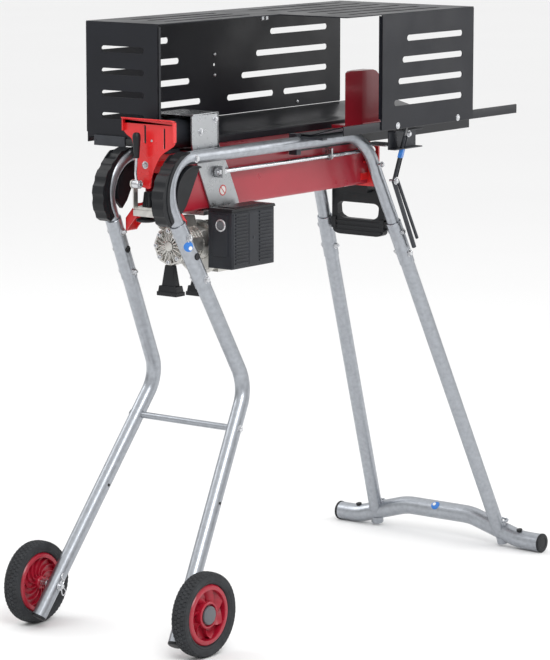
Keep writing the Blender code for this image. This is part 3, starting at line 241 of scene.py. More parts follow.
BLUE_LABEL = Look("blue_label", None, (0.02, 0.16, 0.52), 0.35).mottle(60, 0.08).bumpy(300, 0.1, 0.0001)
RED_LABEL = Look("red_label", None, (0.55, 0.02, 0.02), 0.4).mottle(60, 0.08).bumpy(300, 0.1, 0.0001)
WHITE_LABEL = Look("white_label", None, (0.72, 0.72, 0.7), 0.4).mottle(60, 0.05).bumpy(300, 0.1, 0.0001)


# ----------------------------------------------------------------- mesh makers


def unit(vector):
    return Vector(vector).normalized()


def turned_to(axis):
    """The rotation that takes +Z to axis."""
    return unit(axis).to_track_quat("Z", "Y").to_matrix().to_4x4()


AXIS_TURNS = {
    "x": Matrix(((0, 0, 1, 0), (1, 0, 0, 0), (0, 1, 0, 0), (0, 0, 0, 1))),
    "y": Matrix(((1, 0, 0, 0), (0, 0, -1, 0), (0, 1, 0, 0), (0, 0, 0, 1))),
    "z": Matrix.Identity(4),
}


class Form:
    """One piece's mesh, put together from simple shapes."""

    def __init__(self):
        self.mesh = bmesh.new()

    def _added(self, made, matrix):
        bmesh.ops.transform(self.mesh, matrix=matrix, verts=made)
        return self

    def box(self, low, high, turn=0.0, about=(0, 1, 0), taper=1.0):
        """A box between two corners, turned about its centre, its top scaled by taper."""
        low, high = Vector(low), Vector(high)
        made = bmesh.ops.create_cube(self.mesh, size=1)["verts"]
        for vert in made:
            share = taper if vert.co.z > 0 else 1
            vert.co = Vector(
                (
                    vert.co.x * (high.x - low.x) * share, vert.co.y * (high.y - low.y) * share,
                    vert.co.z * (high.z - low.z),
                )
            )
        return self._added(
            made, Matrix.Translation((low + high) / 2) @ Matrix.Rotation(turn, 4, Vector(about))
        )

    def rod(self, start, end, radius, sides=28, end_radius=None):
        start, end = Vector(start), Vector(end)
        made = bmesh.ops.create_cone(
            self.mesh,
            cap_ends=True,
            segments=sides,
            radius1=radius,
            radius2=radius if end_radius is None else end_radius,
            depth=(end - start).length,
        )["verts"]
        return self._added(made, Matrix.Translation((start + end) / 2) @ turned_to(end - start))

    def turned(self, centre, axis, profile, sides=48, wave=None):
        """A closed ring of (radius, height) points turned about the axis. Radius 0 closes it."""
        rings = []
        for i in range(sides):
            angle = 2 * math.pi * i / sides
            ring = []
            for j, (radius, height) in enumerate(profile):
                if wave:
                    radius, height = wave(angle, j, radius, height)
                ring.append(
                    self.mesh.verts.new((radius * math.cos(angle), radius * math.sin(angle), height))
                )
            rings.append(ring)
        count = len(profile)
        for i in range(sides):
            a, b = rings[i], rings[(i + 1) % sides]
            for j in range(count):
                k = (j + 1) % count
                self.mesh.faces.new((a[j], b[j], b[k], a[k]))
        made = [vert for ring in rings for vert in ring]
        self._added(made, Matrix.Translation(Vector(centre)) @ turned_to(axis))
        bmesh.ops.remove_doubles(self.mesh, verts=made, dist=1e-6)
        return self

    def capped(self, centre, axis, points, sides=48, wave=None):
        """A solid turned about the axis, closed at its first and last height."""
        profile = [(0, points[0][1]), *points, (0, points[-1][1])]
        return self.turned(centre, axis, profile, sides, wave)

    def moved(self, matrix):
        return self._added(self.mesh.verts, matrix)

    def sweep(self, points, radius, sides=24, closed=False):
        """A round bar along the points. radius may be a function of the share of the way."""
        points = [Vector(point) for point in points]
        last = len(points) - 1
        tangents = []
        for i in range(len(points)):
            if closed:
                step = points[(i + 1) % len(points)] - points[i - 1]
            else:
                step = points[min(i + 1, last)] - points[max(i - 1, 0)]
            tangents.append(step.normalized())
        across = tangents[0].orthogonal().normalized()
        rings = []
        for i, (point, tangent) in enumerate(zip(points, tangents)):
            across = (across - tangent * across.dot(tangent)).normalized()
            other = tangent.cross(across)
            size = radius(i / last) if callable(radius) else radius
            ring = []
            for j in range(sides):
                angle = 2 * math.pi * j / sides
                ring.append(
                    self.mesh.verts.new(point + (across * math.cos(angle) + other * math.sin(angle)) * size)
                )
            rings.append(ring)
        spans = len(rings) if closed else len(rings) - 1
        for i in range(spans):
            a, b = rings[i], rings[(i + 1) % len(rings)]
            for j in range(sides):
                k = (j + 1) % sides
                self.mesh.faces.new((a[j], a[k], b[k], b[j]))
        if not closed:
            self.mesh.faces.new(list(reversed(rings[0])))
            self.mesh.faces.new(rings[-1])
        return self

    def hollow(self, start, end, outer, inner, sides=32, lip=0.0006):
        """A tube wall with rounded lips, from start to end."""
        length = (Vector(end) - Vector(start)).length
        profile = [
            (inner, lip),
            (inner, length - lip),
            (inner + lip, length),
            (outer - lip, length),
            (outer, length - lip),
            (outer, lip),
            (outer - lip, 0),
            (inner + lip, 0),
        ]
        return self.turned(start, Vector(end) - Vector(start), profile, sides)

    def plate(self, normal, level, thickness, *outlines):
        """A flat sheet square to an axis, or turned by a 4x4 matrix. Outlines after the first are holes."""
        curve = bpy.data.curves.new("outline", "CURVE")
        curve.dimensions = "2D"
        curve.fill_mode = "BOTH"
        curve.extrude = thickness / 2
        for outline in outlines:
            line = curve.splines.new("POLY")
            line.points.add(len(outline) - 1)
            for point, (u, v) in zip(line.points, outline):
                point.co = (u, v, 0, 1)
            line.use_cyclic_u = True
        guide = in_scene("outline", curve)
        bpy.context.view_layer.update()
        made = bpy.data.meshes.new_from_object(guide.evaluated_get(bpy.context.evaluated_depsgraph_get()))
        bpy.data.objects.remove(guide, do_unlink=True)
        turn = normal if isinstance(normal, Matrix) else AXIS_TURNS[normal]
        made.transform(turn @ Matrix.Translation((0, 0, -level if normal == "y" else level)))
        before = set(self.mesh.verts)
        self.mesh.from_mesh(made)
        bpy.data.meshes.remove(made)
        fresh = [vert for vert in self.mesh.verts if vert not in before]
        bmesh.ops.remove_doubles(self.mesh, verts=fresh, dist=1e-6)
        return self

    def bolt(self, place, axis, head=0.0065, height=0.005, washer=True, dome=False):
        """A hex head, or a domed one, on a washer."""
        place, axis = Vector(place), unit(axis)
        if washer:
            self.rod(place, place + axis * 0.0012, head * 1.45, 24)
            place = place + axis * 0.0012
        if dome:
            profile = [
                (0, 0), (head, 0), (head, height * 0.25), (head * 0.8, height * 0.75), (head * 0.4, height),
                (0, height),
            ]
            return self.turned(place, axis, profile, 24)
        self.rod(place, place + axis * height * 0.85, head, 6)
        return self.rod(place + axis * height * 0.85, place + axis * height, head * 0.88, 24, head * 0.7)

    def done(self, name, look, body="root", node=None, bevel=0.0, slot=None, angle=35):
        """Makes the object, in the row frame. The slot argument is not used."""
        bmesh.ops.recalc_face_normals(self.mesh, faces=self.mesh.faces)
        bmesh.ops.translate(self.mesh, vec=SHIFT, verts=self.mesh.verts)
        mesh = bpy.data.meshes.new(name)
        self.mesh.to_mesh(mesh)
        self.mesh.free()
        mesh.materials.append(look.material)
        mesh.shade_smooth()
        mesh.set_sharp_from_angle(angle=math.radians(angle))
        piece = in_scene(name, mesh)
        if bevel:
            rounding = piece.modifiers.new("rounding", "BEVEL")
            rounding.width = bevel
            rounding.segments = 2
            rounding.limit_method = "ANGLE"
            rounding.angle_limit = math.radians(38)
            rounding.harden_normals = True
        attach(piece, body)
        if node:
            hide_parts(*([node] if isinstance(node, str) else node))
        slot = slot or look.slot
        return piece


def rounded_path(corners, radii, steps=14):
    """Points along straight runs whose inner corners are arcs of the given radii."""
    corners = [Vector(corner) for corner in corners]
    points = [corners[0]]
    for before, corner, after, radius in zip(corners, corners[1:], corners[2:], radii):
        inward, outward = (before - corner).normalized(), (after - corner).normalized()
        turn = math.pi - inward.angle(outward)
        centre = corner + (inward + outward).normalized() * (radius / math.cos(turn / 2))
        first = corner + inward * (radius * math.tan(turn / 2)) - centre
        axis = inward.cross(first).normalized()
        for i in range(steps + 1):
            points.append(centre + Matrix.Rotation(turn * i / steps, 3, axis) @ first)
    points.append(corners[-1])
    return points


def rounded(corners, radius, steps=4):
    """A closed outline whose corners are rounded. radius is one value or one for each corner."""
    count = len(corners)
    radii = radius if isinstance(radius, (list, tuple)) else [radius] * count
    outline = []
    for i, (corner, size) in enumerate(zip(corners, radii)):
        corner = Vector((*corner, 0))
        before, after = Vector((*corners[i - 1], 0)), Vector((*corners[(i + 1) % count], 0))
        if size <= 0:
            outline.append((corner.x, corner.y))
            continue
        size = min(size, (before - corner).length * 0.45, (after - corner).length * 0.45)
        a = corner + (before - corner).normalized() * size
        b = corner + (after - corner).normalized() * size
        for j in range(steps + 1):
            t = j / steps
            point = a * (1 - t) ** 2 + corner * 2 * t * (1 - t) + b * t * t
            outline.append((point.x, point.y))
    return outline


def circle(u, v, radius):
    turns = [2 * math.pi * i / 24 for i in range(24)]
    return [(u + radius * math.cos(turn), v + radius * math.sin(turn)) for turn in turns]


def slot(u_low, u_high, v, width):
    """A slot along the outline's first direction, with round ends."""
    radius = width / 2
    points = []
    for centre, start in ((u_high - radius, -math.pi / 2), (u_low + radius, math.pi / 2)):
        for i in range(9):
            angle = start + math.pi * i / 8
            points.append((centre + radius * math.cos(angle), v + radius * math.sin(angle)))
    return points


def rectangle(u_low, v_low, u_high, v_high):
    return [(u_low, v_low), (u_high, v_low), (u_high, v_high), (u_low, v_high)]


def mirrored(point, side):
    return Vector((point[0], side * point[1], point[2]))


def along(start, end, distance):
    start, end = Vector(start), Vector(end)
    return start + (end - start).normalized() * distance


def on_line(start, end, height):
    start, end = Vector(start), Vector(end)
    return start + (end - start) * ((height - start.z) / (end.z - start.z))


def arc(u, v, radius, start, end, steps):
    """Points of an arc, angles in degrees."""
    turns = [math.radians(start + (end - start) * i / steps) for i in range(steps + 1)]
    return [(u + radius * math.cos(turn), v + radius * math.sin(turn)) for turn in turns]


# ------------------------------------------------------------------ the camera

VIEW_YAW, VIEW_PITCH = math.radians(37.3616), math.radians(9.0792)
camera_data = bpy.data.cameras.new("camera")
camera_data.lens = 168.87
camera_data.shift_x, camera_data.shift_y = 0.0161, -0.0262
camera_data.clip_end = 400
camera = in_scene("camera", camera_data)
camera.location = Vector((-5.4463, -4.5922, 1.9184)) + SHIFT
camera.rotation_euler = (math.pi / 2 - VIEW_PITCH, 0, VIEW_YAW - math.pi / 2)
bpy.context.scene.camera = camera


# ----------------------------------------------------------------------- stand

UPPER_R, LEG_R, COLLAR_R, FOOT_R = 0.016, 0.018, 0.0195, 0.024
FRAME_TOP_Z = 1.134
FRONT_BEND_R, REAR_BEND_R = 0.085, 0.12
FRONT_TOP, FRONT_KNEE, FRONT_END = (0.107, 0.098, 0.985), (0.315, 0.137, 0.578), (-0.0461, 0.21, 0.03)
REAR_TOP, REAR_FOOT = (0.967, 0.1082, 0.904), (1.337, 0.2, 0.0455)
FOOT_X, FOOT_HALF, FOOT_LOW_Z = 1.347, 0.3325, 0.0255
FRONT_COLLAR, REAR_COLLAR = 0.17, 0.12


def frame_corners():
    front_in = along(FRONT_TOP, FRONT_KNEE, FRONT_COLLAR * 0.8)
    rear_in = along(REAR_TOP, REAR_FOOT, REAR_COLLAR * 0.8)
    front_corner = on_line(front_in, FRONT_TOP, FRAME_TOP_Z)
    return [front_in, front_corner, on_line(rear_in, REAR_TOP, FRAME_TOP_Z), rear_in]


def front_bend_centre():
    """Centre of the front bend's arc, seen square to the machine's side."""
    front_in, corner, _, _ = frame_corners()
    half_turn = (math.pi / 2 + math.atan2(front_in.x - corner.x, corner.z - front_in.z)) / 2
    y = on_line(front_in, corner, FRAME_TOP_Z - FRONT_BEND_R * 0.8).y
    return Vector((corner.x + FRONT_BEND_R * math.tan(half_turn), y, FRAME_TOP_Z - FRONT_BEND_R))


def through_bolts(form, start, end, heights, side, radius):
    """Bolts square through a leg: hex head on the outer side, nut and thread end on the inner."""
    for height in heights:
        place = on_line(start, end, height)
        outer = Vector((0, side, 0))
        form.bolt(place + outer * (radius - 0.001), outer, 0.0068, 0.0055)
        form.bolt(place - outer * (radius - 0.001), -outer, 0.0065, 0.0065)
        form.rod(place - outer * (radius + 0.004), place - outer * (radius + 0.0105), 0.003, 16)


def label(form, place, axis, radius, facing, size):
    """A round label that follows a tube's surface."""
    axis, facing = unit(axis), unit(facing)
    facing = (facing - axis * facing.dot(axis)).normalized()
    across = axis.cross(facing)
    rings = [[form.mesh.verts.new(Vector(place) + facing * radius)]]
    for i in range(1, 5):
        ring = []
        for j in range(28):
            turn = 2 * math.pi * j / 28
            u, v = size * i / 4 * math.cos(turn), size * i / 4 * math.sin(turn)
            out = facing * math.cos(u / radius) + across * math.sin(u / radius)
            ring.append(form.mesh.verts.new(Vector(place) + axis * v + out * radius))
        rings.append(ring)
    for j in range(28):
        form.mesh.faces.new((rings[0][0], rings[1][j], rings[1][(j + 1) % 28]))
        for a, b in zip(rings[1:], rings[2:]):
            form.mesh.faces.new((a[j], b[j], b[(j + 1) % 28], a[(j + 1) % 28]))
    return form


for word, side in SIDES:
    corners = [mirrored(point, side) for point in frame_corners()]
    Form().sweep(rounded_path(corners, (FRONT_BEND_R, REAR_BEND_R), 20), UPPER_R, 32).done(
        f"side_tube_{word}", GALVANISED, node=f"side_frame_{word}"
    )

    top, knee, end = (mirrored(point, side) for point in (FRONT_TOP, FRONT_KNEE, FRONT_END))
    collar_end = along(top, knee, FRONT_COLLAR)
    leg = Form().sweep(rounded_path([along(top, knee, 0.004), knee, end], (0.085,), 18), LEG_R, 32)
    leg.hollow(top, collar_end, COLLAR_R, UPPER_R + 0.0002, 40, 0.0008)
    leg.done(f"front_leg_tube_{word}", GALVANISED, node=f"front_leg_{word}")
    plug = Form().rod(end + unit(end - knee) * -0.002, along(end, knee, -0.0025), LEG_R * 1.005, 32)
    plug.rod(along(end, knee, -0.0025), along(end, knee, -0.0045), LEG_R * 0.94, 32, LEG_R * 0.84)
    plug.done(f"leg_plug_{word}", BLACK_PLASTIC, bevel=0.0004)

    bolts = Form()
    through_bolts(bolts, top, knee, (0.952, 0.85), side, COLLAR_R)
    through_bolts(
        bolts, mirrored(REAR_TOP, side), mirrored(REAR_FOOT, side), (0.878, 0.822), side, COLLAR_R
    )
    place = mirrored((0.178, 0.083, FRAME_TOP_Z), side) + Vector((0, side * UPPER_R * 0.95, -0.002))
    bolts.bolt(place, (0, side, 0), 0.0065, 0.005)
    bolts.done(f"stand_bolts_{word}", ZINC, bevel=0.0003)
    holes = Form()
    for outward in (-1, 1):
        place = on_line(top, knee, 0.907) + Vector((0, outward * (COLLAR_R - 0.0015), 0))
        holes.capped(
            place, (0, outward, 0), [(0.0085, 0), (0.0085, 0.0026), (0.007, 0.0036), (0.0045, 0.003)], 28
        )
    holes.rod(
        on_line(knee, end, 0.326) - Vector((0, LEG_R + 0.0003, 0)),
        on_line(knee, end, 0.326) + Vector((0, LEG_R + 0.0003, 0)), 0.0042, 20,
    )
    holes.done(f"leg_hole_plugs_{word}", BLACK_PLASTIC)

    top, foot = mirrored(REAR_TOP, side), mirrored(REAR_FOOT, side)
    rear = Form().rod(along(top, foot, 0.004), foot, LEG_R, 36)
    rear.hollow(top, along(top, foot, REAR_COLLAR), COLLAR_R, UPPER_R + 0.0002, 40, 0.0008)
    bead = []
    for i in range(30):
        reach = Vector((0.0205, 0, 0.0015 * math.sin(i * 2.1)))
        turn = Matrix.Rotation(2 * math.pi * i / 30, 3, "Z")
        bead.append(foot + Vector((0.004, 0, 0.026)) + turn @ reach)
    rear.sweep(bead, 0.0026, 8, closed=True)
    rear.rod((FOOT_X - 0.001, side * 0.204, 0.028), (FOOT_X + 0.004, side * 0.206, 0.01), LEG_R * 0.92, 28)
    rear.done(f"rear_leg_tube_{word}", GALVANISED, node=f"rear_leg_{word}")

foot_half = [(0.105, 0.071), (0.262, FOOT_LOW_Z), (FOOT_HALF - 0.004, FOOT_LOW_Z)]
foot_points = [Vector((FOOT_X, -y, z)) for y, z in reversed(foot_half)]
foot_points += [Vector((FOOT_X, y, z)) for y, z in foot_half]
Form().sweep(rounded_path(foot_points, (0.16,) * 4, 12), FOOT_R, 36).done(
    "foot_bar", GALVANISED, node="foot_tube"
)
for word, side in SIDES:
    cap = Form().capped(
        (FOOT_X, side * (FOOT_HALF - 0.0075), FOOT_LOW_Z),
        (0, side, 0),
        [(0.0245, 0), (0.0253, 0.001), (0.0253, 0.005), (0.0235, 0.0072), (0.016, 0.0074), (0.014, 0.006)],
    )
    cap.done(f"foot_plug_{word}", BLACK_PLASTIC, node=f"foot_cap_{word}")
holes = Form()
for y in (-0.262, 0.262):
    holes.capped(
        (FOOT_X - 0.006, y, 0.029 + FOOT_R - 0.0012), (-0.25, 0, 1),
        [(0.008, 0), (0.008, 0.0025), (0.006, 0.0036)], 24,
    )
holes.done("foot_hole_plugs", BLACK_PLASTIC)

cross = on_line(FRONT_KNEE, FRONT_END, 0.485)
bar = Form().rod(
    mirrored(cross, -1) + Vector((0, LEG_R * 0.7, 0)), cross - Vector((0, LEG_R * 0.7, 0)), 0.008, 28
)
bar.done("leg_tie_bar", GALVANISED, node="leg_cross_tube")
bolts = Form()
for side in (-1, 1):
    bolts.bolt(mirrored(cross, side) + Vector((0, side * (LEG_R - 0.001), 0)), (0, side, 0), 0.0068, 0.005)
bolts.done("tie_bar_bolts", ZINC, bevel=0.0003)

top, knee = mirrored(FRONT_TOP, -1), mirrored(FRONT_KNEE, -1)
labels = Form()
label(labels, on_line(top, knee, 0.936), top - knee, COLLAR_R + 0.0004, (-0.62, -0.78, 0.1), 0.0125)
label(labels, (FOOT_X, 0.0, 0.071), (0, 1, 0), FOOT_R + 0.0004, (-0.75, 0, 0.65), 0.0125)
labels.done("blue_labels", BLUE_LABEL)
signs = Form()
label(signs, on_line(top, knee, 0.931), top - knee, COLLAR_R + 0.0007, (-0.5, -0.86, 0.1), 0.005)
label(signs, (FOOT_X, 0.004, 0.0715), (0, 1, 0), FOOT_R + 0.0007, (-0.7, 0, 0.72), 0.005)
signs.done("white_label_marks", WHITE_LABEL)


# ---------------------------------------------------------------------- wheels

WHEEL_R, RIM_R, WHEEL_Y, HALF_WIDTH = 0.1, 0.072, 0.258, 0.02
TREAD_CELLS = 56
VANES, VANE_IN, VANE_OUT = 7, 0.0315, 0.0605
RIBS, RIB_IN, RIB_OUT = 14, 0.015, 0.06


def tread(angle, row, radius, height):
    """Sinks the tyre's running face between and in the middles of staggered round lugs."""
    if radius < WHEEL_R - 0.0045:
        return radius, height
    cell = 2 * math.pi * WHEEL_R / TREAD_CELLS
    along_tyre, across = angle * WHEEL_R, height + 0.5 * cell
    nearest = 9.0
    for i in range(-3, 4):
        centre_v = i * cell * 0.88
        offset = 0.5 * cell * (i % 2)
        centre_u = round((along_tyre - offset) / cell) * cell + offset
        nearest = min(nearest, math.hypot(along_tyre - centre_u, across - centre_v))
    share = nearest / cell
    sink = 0.0026 if share > 0.43 else (0.0012 if share < 0.2 else 0.0)
    return radius - sink, height


def wheel(word, side):
    body = f"wheel_{word}"
    centre, outward = Vector((0, side * WHEEL_Y, WHEEL_R)), Vector((0, side, 0))
    place = Matrix.Translation(centre) @ turned_to(outward)

    profile = [
        (RIM_R + 0.0003, 0.0125), (RIM_R + 0.003, 0.0165), (0.0785, 0.0182), (0.08, 0.0174),
        (0.082, 0.0186), (0.09, 0.0197), (0.0915, 0.019), (0.0945, 0.0194),
    ]
    rows = 21
    face = [
        (WHEEL_R - 0.0035 * abs(1 - 2 * i / (rows - 1)) ** 3, HALF_WIDTH * 0.93 * (1 - 2 * i / (rows - 1)))
        for i in range(rows)
    ]
    outline = profile + face + [(r, -h) for r, h in reversed(profile)]
    Form().turned(centre, outward, outline, 336, tread).done(
        f"tyre_tread_{word}", RUBBER, body, node=f"tyre_{word}", angle=50
    )

    rim = Form()
    lip = [
        (0.0585, 0.0135), (0.06, 0.0165), (0.064, 0.0172), (0.069, 0.016), (RIM_R, 0.0125),
        (RIM_R, -0.0125), (0.069, -0.016), (0.064, -0.0168), (0.0605, -0.016), (0.0595, -0.001),
        (0.059, 0.003),
    ]
    rim.turned((0, 0, 0), (0, 0, 1), lip, 72)
    rim.turned(
        (0, 0, 0), (0, 0, 1), [(0.0595, -0.0005), (0.0595, -0.0035), (0.026, -0.006), (0.026, -0.003)], 72
    )
    hub = [
        (0.0066, -0.018), (0.0135, -0.018), (0.015, -0.0165), (0.0165, -0.006), (0.03, -0.0055),
        (0.0325, 0.009), (0.0315, 0.015), (0.0295, 0.0165), (0.027, 0.0165), (0.0255, 0.0145),
        (0.024, 0.008), (0.0066, 0.008),
    ]
    rim.turned((0, 0, 0), (0, 0, 1), hub, 72)
    for i in range(VANES):
        start = 2 * math.pi * i / VANES
        rings = []
        for j in range(9):
            share = j / 8
            radius = VANE_IN + (VANE_OUT - VANE_IN) * share
            swirl = 0.42 * share ** 1.3
            row = []
            for k in range(7):
                turn = start + swirl + (0.36 + 0.2 * share) * k / 6
                lift = 0.0125 - 0.0125 * (k / 6) ** 1.2 - 0.002 * math.sin(math.pi * share)
                row.append((radius * math.cos(turn), radius * math.sin(turn), lift))
            rings.append(row)
        upper = [[rim.mesh.verts.new(p) for p in row] for row in rings]
        lower = [[rim.mesh.verts.new((p[0], p[1], -0.0025)) for p in row] for row in rings]
        for j in range(8):
            for k in range(6):
                rim.mesh.faces.new((upper[j][k], upper[j + 1][k], upper[j + 1][k + 1], upper[j][k + 1]))
                rim.mesh.faces.new((lower[j][k], lower[j][k + 1], lower[j + 1][k + 1], lower[j + 1][k]))
            rim.mesh.faces.new((upper[j][0], lower[j][0], lower[j + 1][0], upper[j + 1][0]))
            rim.mesh.faces.new((upper[j][6], upper[j + 1][6], lower[j + 1][6], lower[j][6]))
        for k in range(6):
            rim.mesh.faces.new((upper[0][k], upper[0][k + 1], lower[0][k + 1], lower[0][k]))
            rim.mesh.faces.new((upper[8][k], lower[8][k], lower[8][k + 1], upper[8][k + 1]))
    for i in range(RIBS):
        start = 2 * math.pi * i / RIBS
        points = []
        for j in range(9):
            share = j / 8
            radius = RIB_IN + (RIB_OUT - RIB_IN) * share
            points.append((radius, start + 0.75 * share ** 1.6))
        strip = []
        for radius, turn in points:
            across = 0.0008 / radius
            strip.append(
                [
                    rim.mesh.verts.new((radius * math.cos(turn + a), radius * math.sin(turn + a), z))
                    for a, z in (
                        (-across, -0.0035), (across, -0.0035), (across, -0.0125), (-across, -0.0125)
                    )
                ]
            )
        for a, b in zip(strip, strip[1:]):
            for j in range(4):
                rim.mesh.faces.new((a[j], a[(j + 1) % 4], b[(j + 1) % 4], b[j]))
        rim.mesh.faces.new(strip[0])
        rim.mesh.faces.new(strip[-1][::-1])
    rim.moved(place)
    rim.done(f"spoked_rim_{word}", RED_PLASTIC, body, node=f"wheel_rim_{word}", bevel=0.0004)

    cap = [
        (0, 0.0135), (0.0215, 0.0135), (0.0222, 0.016), (0.0215, 0.0185), (0.0195, 0.0198), (0.012, 0.0205),
        (0, 0.0208),
    ]
    Form().turned(centre, outward, cap).done(f"hub_disc_{word}", GREY_PLASTIC, body, node=f"hub_cap_{word}")

    leg = mirrored(on_line(FRONT_KNEE, FRONT_END, WHEEL_R), side)
    axle = Form().rod(leg - outward * 0.027, centre + outward * 0.012, 0.006, 28)
    axle.hollow(leg + outward * 0.0195, centre - outward * 0.0185, 0.0095, 0.0058, 28)
    axle.rod(leg - outward * 0.0182, leg - outward * 0.0198, 0.0115, 28)
    axle.done(f"axle_{word}", ZINC, node=f"wheel_axle_{word}", bevel=0.0004)
    pin = leg - outward * 0.0235
    clip = [pin + Vector((x, 0.0028 * side * math.sin(x * 160), z)) for x, z in (
        (0.004, 0.02), (0.002, 0.012), (0.0, 0.006), (-0.001, -0.002), (-0.001, -0.01), (0.001, -0.018),
        (0.007, -0.024), (0.014, -0.021), (0.016, -0.014), (0.011, -0.008), (0.007, -0.002),
        (0.0075, 0.004), (0.011, 0.009), (0.01, 0.015), (0.005, 0.017),
        (0.001, 0.021), (0.003, 0.027), (0.009, 0.031))]
    smooth_clip = []
    for i in range(len(clip) - 1):
        a, b = clip[max(0, i - 1)], clip[i]
        c, d = clip[i + 1], clip[min(len(clip) - 1, i + 2)]
        for j in range(5):
            t = j / 5
            smooth_clip.append(
                0.5 * (
                    (2 * b)
                    + (c - a) * t
                    + (2 * a - 5 * b + 4 * c - d) * t * t
                    + (3 * b - a - 3 * c + d) * t ** 3
                )
            )
    Form().sweep(smooth_clip, 0.0014, 10).done(f"axle_clip_{word}", ZINC)


for word, side in SIDES:
    wheel(word, side)


# -------------------------------------------------------- beam and its fittings

BEAM_HALF, BEAM_LOW, BEAM_TOP = 0.05, 1.0, 1.139
BEAM_FRONT, BEAM_REAR = 0.17, 0.934
ROD_Y, ROD_Z = -0.0655, 1.088
TRAY_Y, GUARD_FRONT, GUARD_REAR, GUARD_TOP = 0.2115, 0.15, 1.172, 1.444

beam = Form().plate(
    "x",
    (BEAM_FRONT + BEAM_REAR) / 2,
    BEAM_REAR - BEAM_FRONT,
    rounded(rectangle(-BEAM_HALF, BEAM_LOW, BEAM_HALF, BEAM_TOP), 0.008, 5),
    rounded(rectangle(-BEAM_HALF + 0.004, BEAM_LOW + 0.004, BEAM_HALF - 0.004, BEAM_TOP - 0.004), 0.005, 4),
)
beam.done("box_beam", RED, node="main_beam", bevel=0.0005)

low, high = BEAM_LOW - 0.006, BEAM_TOP - 0.004
end_outline = rounded(
    [
        (-0.0835, low), (0.0835, low), (0.0835, 1.104), (0.054, 1.104), (0.054, high), (-0.054, high),
        (-0.054, 1.104), (-0.0835, 1.104),
    ],
    0.005,
)
holes = [
    circle(y, z, r)
    for y, z, r in (
        (-0.066, 1.032, 0.0065), (0.066, 1.032, 0.0065), (ROD_Y, ROD_Z, 0.009), (-ROD_Y, ROD_Z, 0.009)
    )
]
end_plate = Form().plate("x", BEAM_REAR + 0.0034, 0.006, end_outline, *holes)
for side in (-1, 1):
    end_plate.box(
        (BEAM_REAR - 0.03, side * 0.0505 - 0.002, 1.012), (BEAM_REAR + 0.002, side * 0.0505 + 0.002, 1.03)
    )
    end_plate.box(
        (BEAM_REAR - 0.022, min(side * 0.052, side * 0.083), 1.056),
        (BEAM_REAR + 0.002, max(side * 0.052, side * 0.083), 1.06),
    )
end_plate.done("rear_cross_plate", BRIGHT_RED, node="beam_end_plate", bevel=0.0007)

arms = Form().plate(
    "x", 0.164, 0.011, rounded([(-0.052, 1.022), (-0.052, 0.98), (0.052, 0.98), (0.052, 1.022)], 0.004)
)
for side in (-1, 1):
    inner_y, outer_y = side * 0.0445, side * 0.0765
    arms.plate(
        "x", 0.1486, 0.041,
        rounded([(inner_y, 1.022), (outer_y, 0.985), (outer_y, 0.9815), (inner_y, 1.0185)], 0.0008),
    )
    for level in (0.1296, 0.1666):
        arms.plate(
            "x", level, 0.003,
            rounded([(inner_y, 1.0215), (outer_y, 0.9845), (outer_y, 0.953), (inner_y, 0.99)], 0.003),
        )
    arms.plate(
        "x", 0.1486, 0.041,
        rounded(
            [
                (outer_y, 0.985), (outer_y, 0.953), (outer_y - side * 0.003, 0.956),
                (outer_y - side * 0.003, 0.985),
            ],
            0.0008,
        ),
    )
arms.done("front_arms", BRIGHT_RED, node="front_cross_bracket", bevel=0.0007)

wedge_low = BEAM_TOP + 0.0004
blade = Form()
blade_rows = []
for x_edge, half in (
    (0.906, 0.0005), (0.922, 0.0052), (0.94, 0.0108), (0.956, 0.0155), (0.958, 0.016), (1.006, 0.016),
    (1.02, 0.016), (1.03, 0.016), (1.036, 0.016), (1.038, 0.015),
):
    drop = 0.0
    if x_edge > 1.004:
        drop = 0.034 - math.sqrt(max(0.0, 0.034 ** 2 - (x_edge - 1.004) ** 2))
    if x_edge < 0.912:
        drop = 0.005
    blade_rows.append((x_edge, half, 1.2845 - drop))
rings = [
    [
        blade.mesh.verts.new(p)
        for p in ((x, -half, wedge_low), (x, half, wedge_low), (x, half, top), (x, -half, top))
    ]
    for x, half, top in blade_rows
]
for a, b in zip(rings, rings[1:]):
    for j in range(4):
        blade.mesh.faces.new((a[j], b[j], b[(j + 1) % 4], a[(j + 1) % 4]))
blade.mesh.faces.new(rings[0])
blade.mesh.faces.new(rings[-1][::-1])
blade.box((0.908, -0.044, wedge_low), (1.038, 0.044, wedge_low + 0.008))
for side in (-1, 1):
    blade.sweep(
        [(0.955, side * 0.0178, wedge_low + 0.0085), (1.037, side * 0.0178, wedge_low + 0.0085)], 0.0028, 10
    )
blade.done("splitting_wedge", RED, node="wedge", bevel=0.0009, angle=30)

# Carrying handle under the wedge end
handle = Form()
outer = rounded(
    [
        (-0.082, 0.979), (-0.082, 0.892), (-0.078, 0.866), (-0.062, 0.8605), (0.062, 0.8605),
        (0.078, 0.866), (0.082, 0.892), (0.082, 0.979),
    ],
    0.008,
)
opening = rounded(
    [
        (-0.066, 0.938), (-0.063, 0.912), (-0.046, 0.9025), (0.046, 0.9025), (0.063, 0.912), (0.066, 0.938),
        (0.054, 0.945), (-0.054, 0.945),
    ],
    0.007,
)
handle.plate("x", 0.974, 0.021, outer, opening)
for i in range(3):
    z = 0.866 + 0.012 * i
    handle.box((0.9615, -0.074, z), (0.9865, 0.074, z + 0.0065))
handle.box((0.9415, -0.045, 0.975), (0.985, 0.045, 1.012))
handle.box((0.96, -0.07, 0.966), (0.964, 0.07, 0.982))
for side in (-1, 1):
    handle.box((0.96, side * 0.075 - 0.007, 0.876), (0.988, side * 0.075 + 0.007, 0.905))
handle.done("carry_handle", BLACK_PLASTIC, node="rear_handle", bevel=0.0018)
bolts = Form()
for y in (-0.034, 0.034):
    bolts.bolt((0.985, y, 0.996), (1, 0, 0), 0.0065)
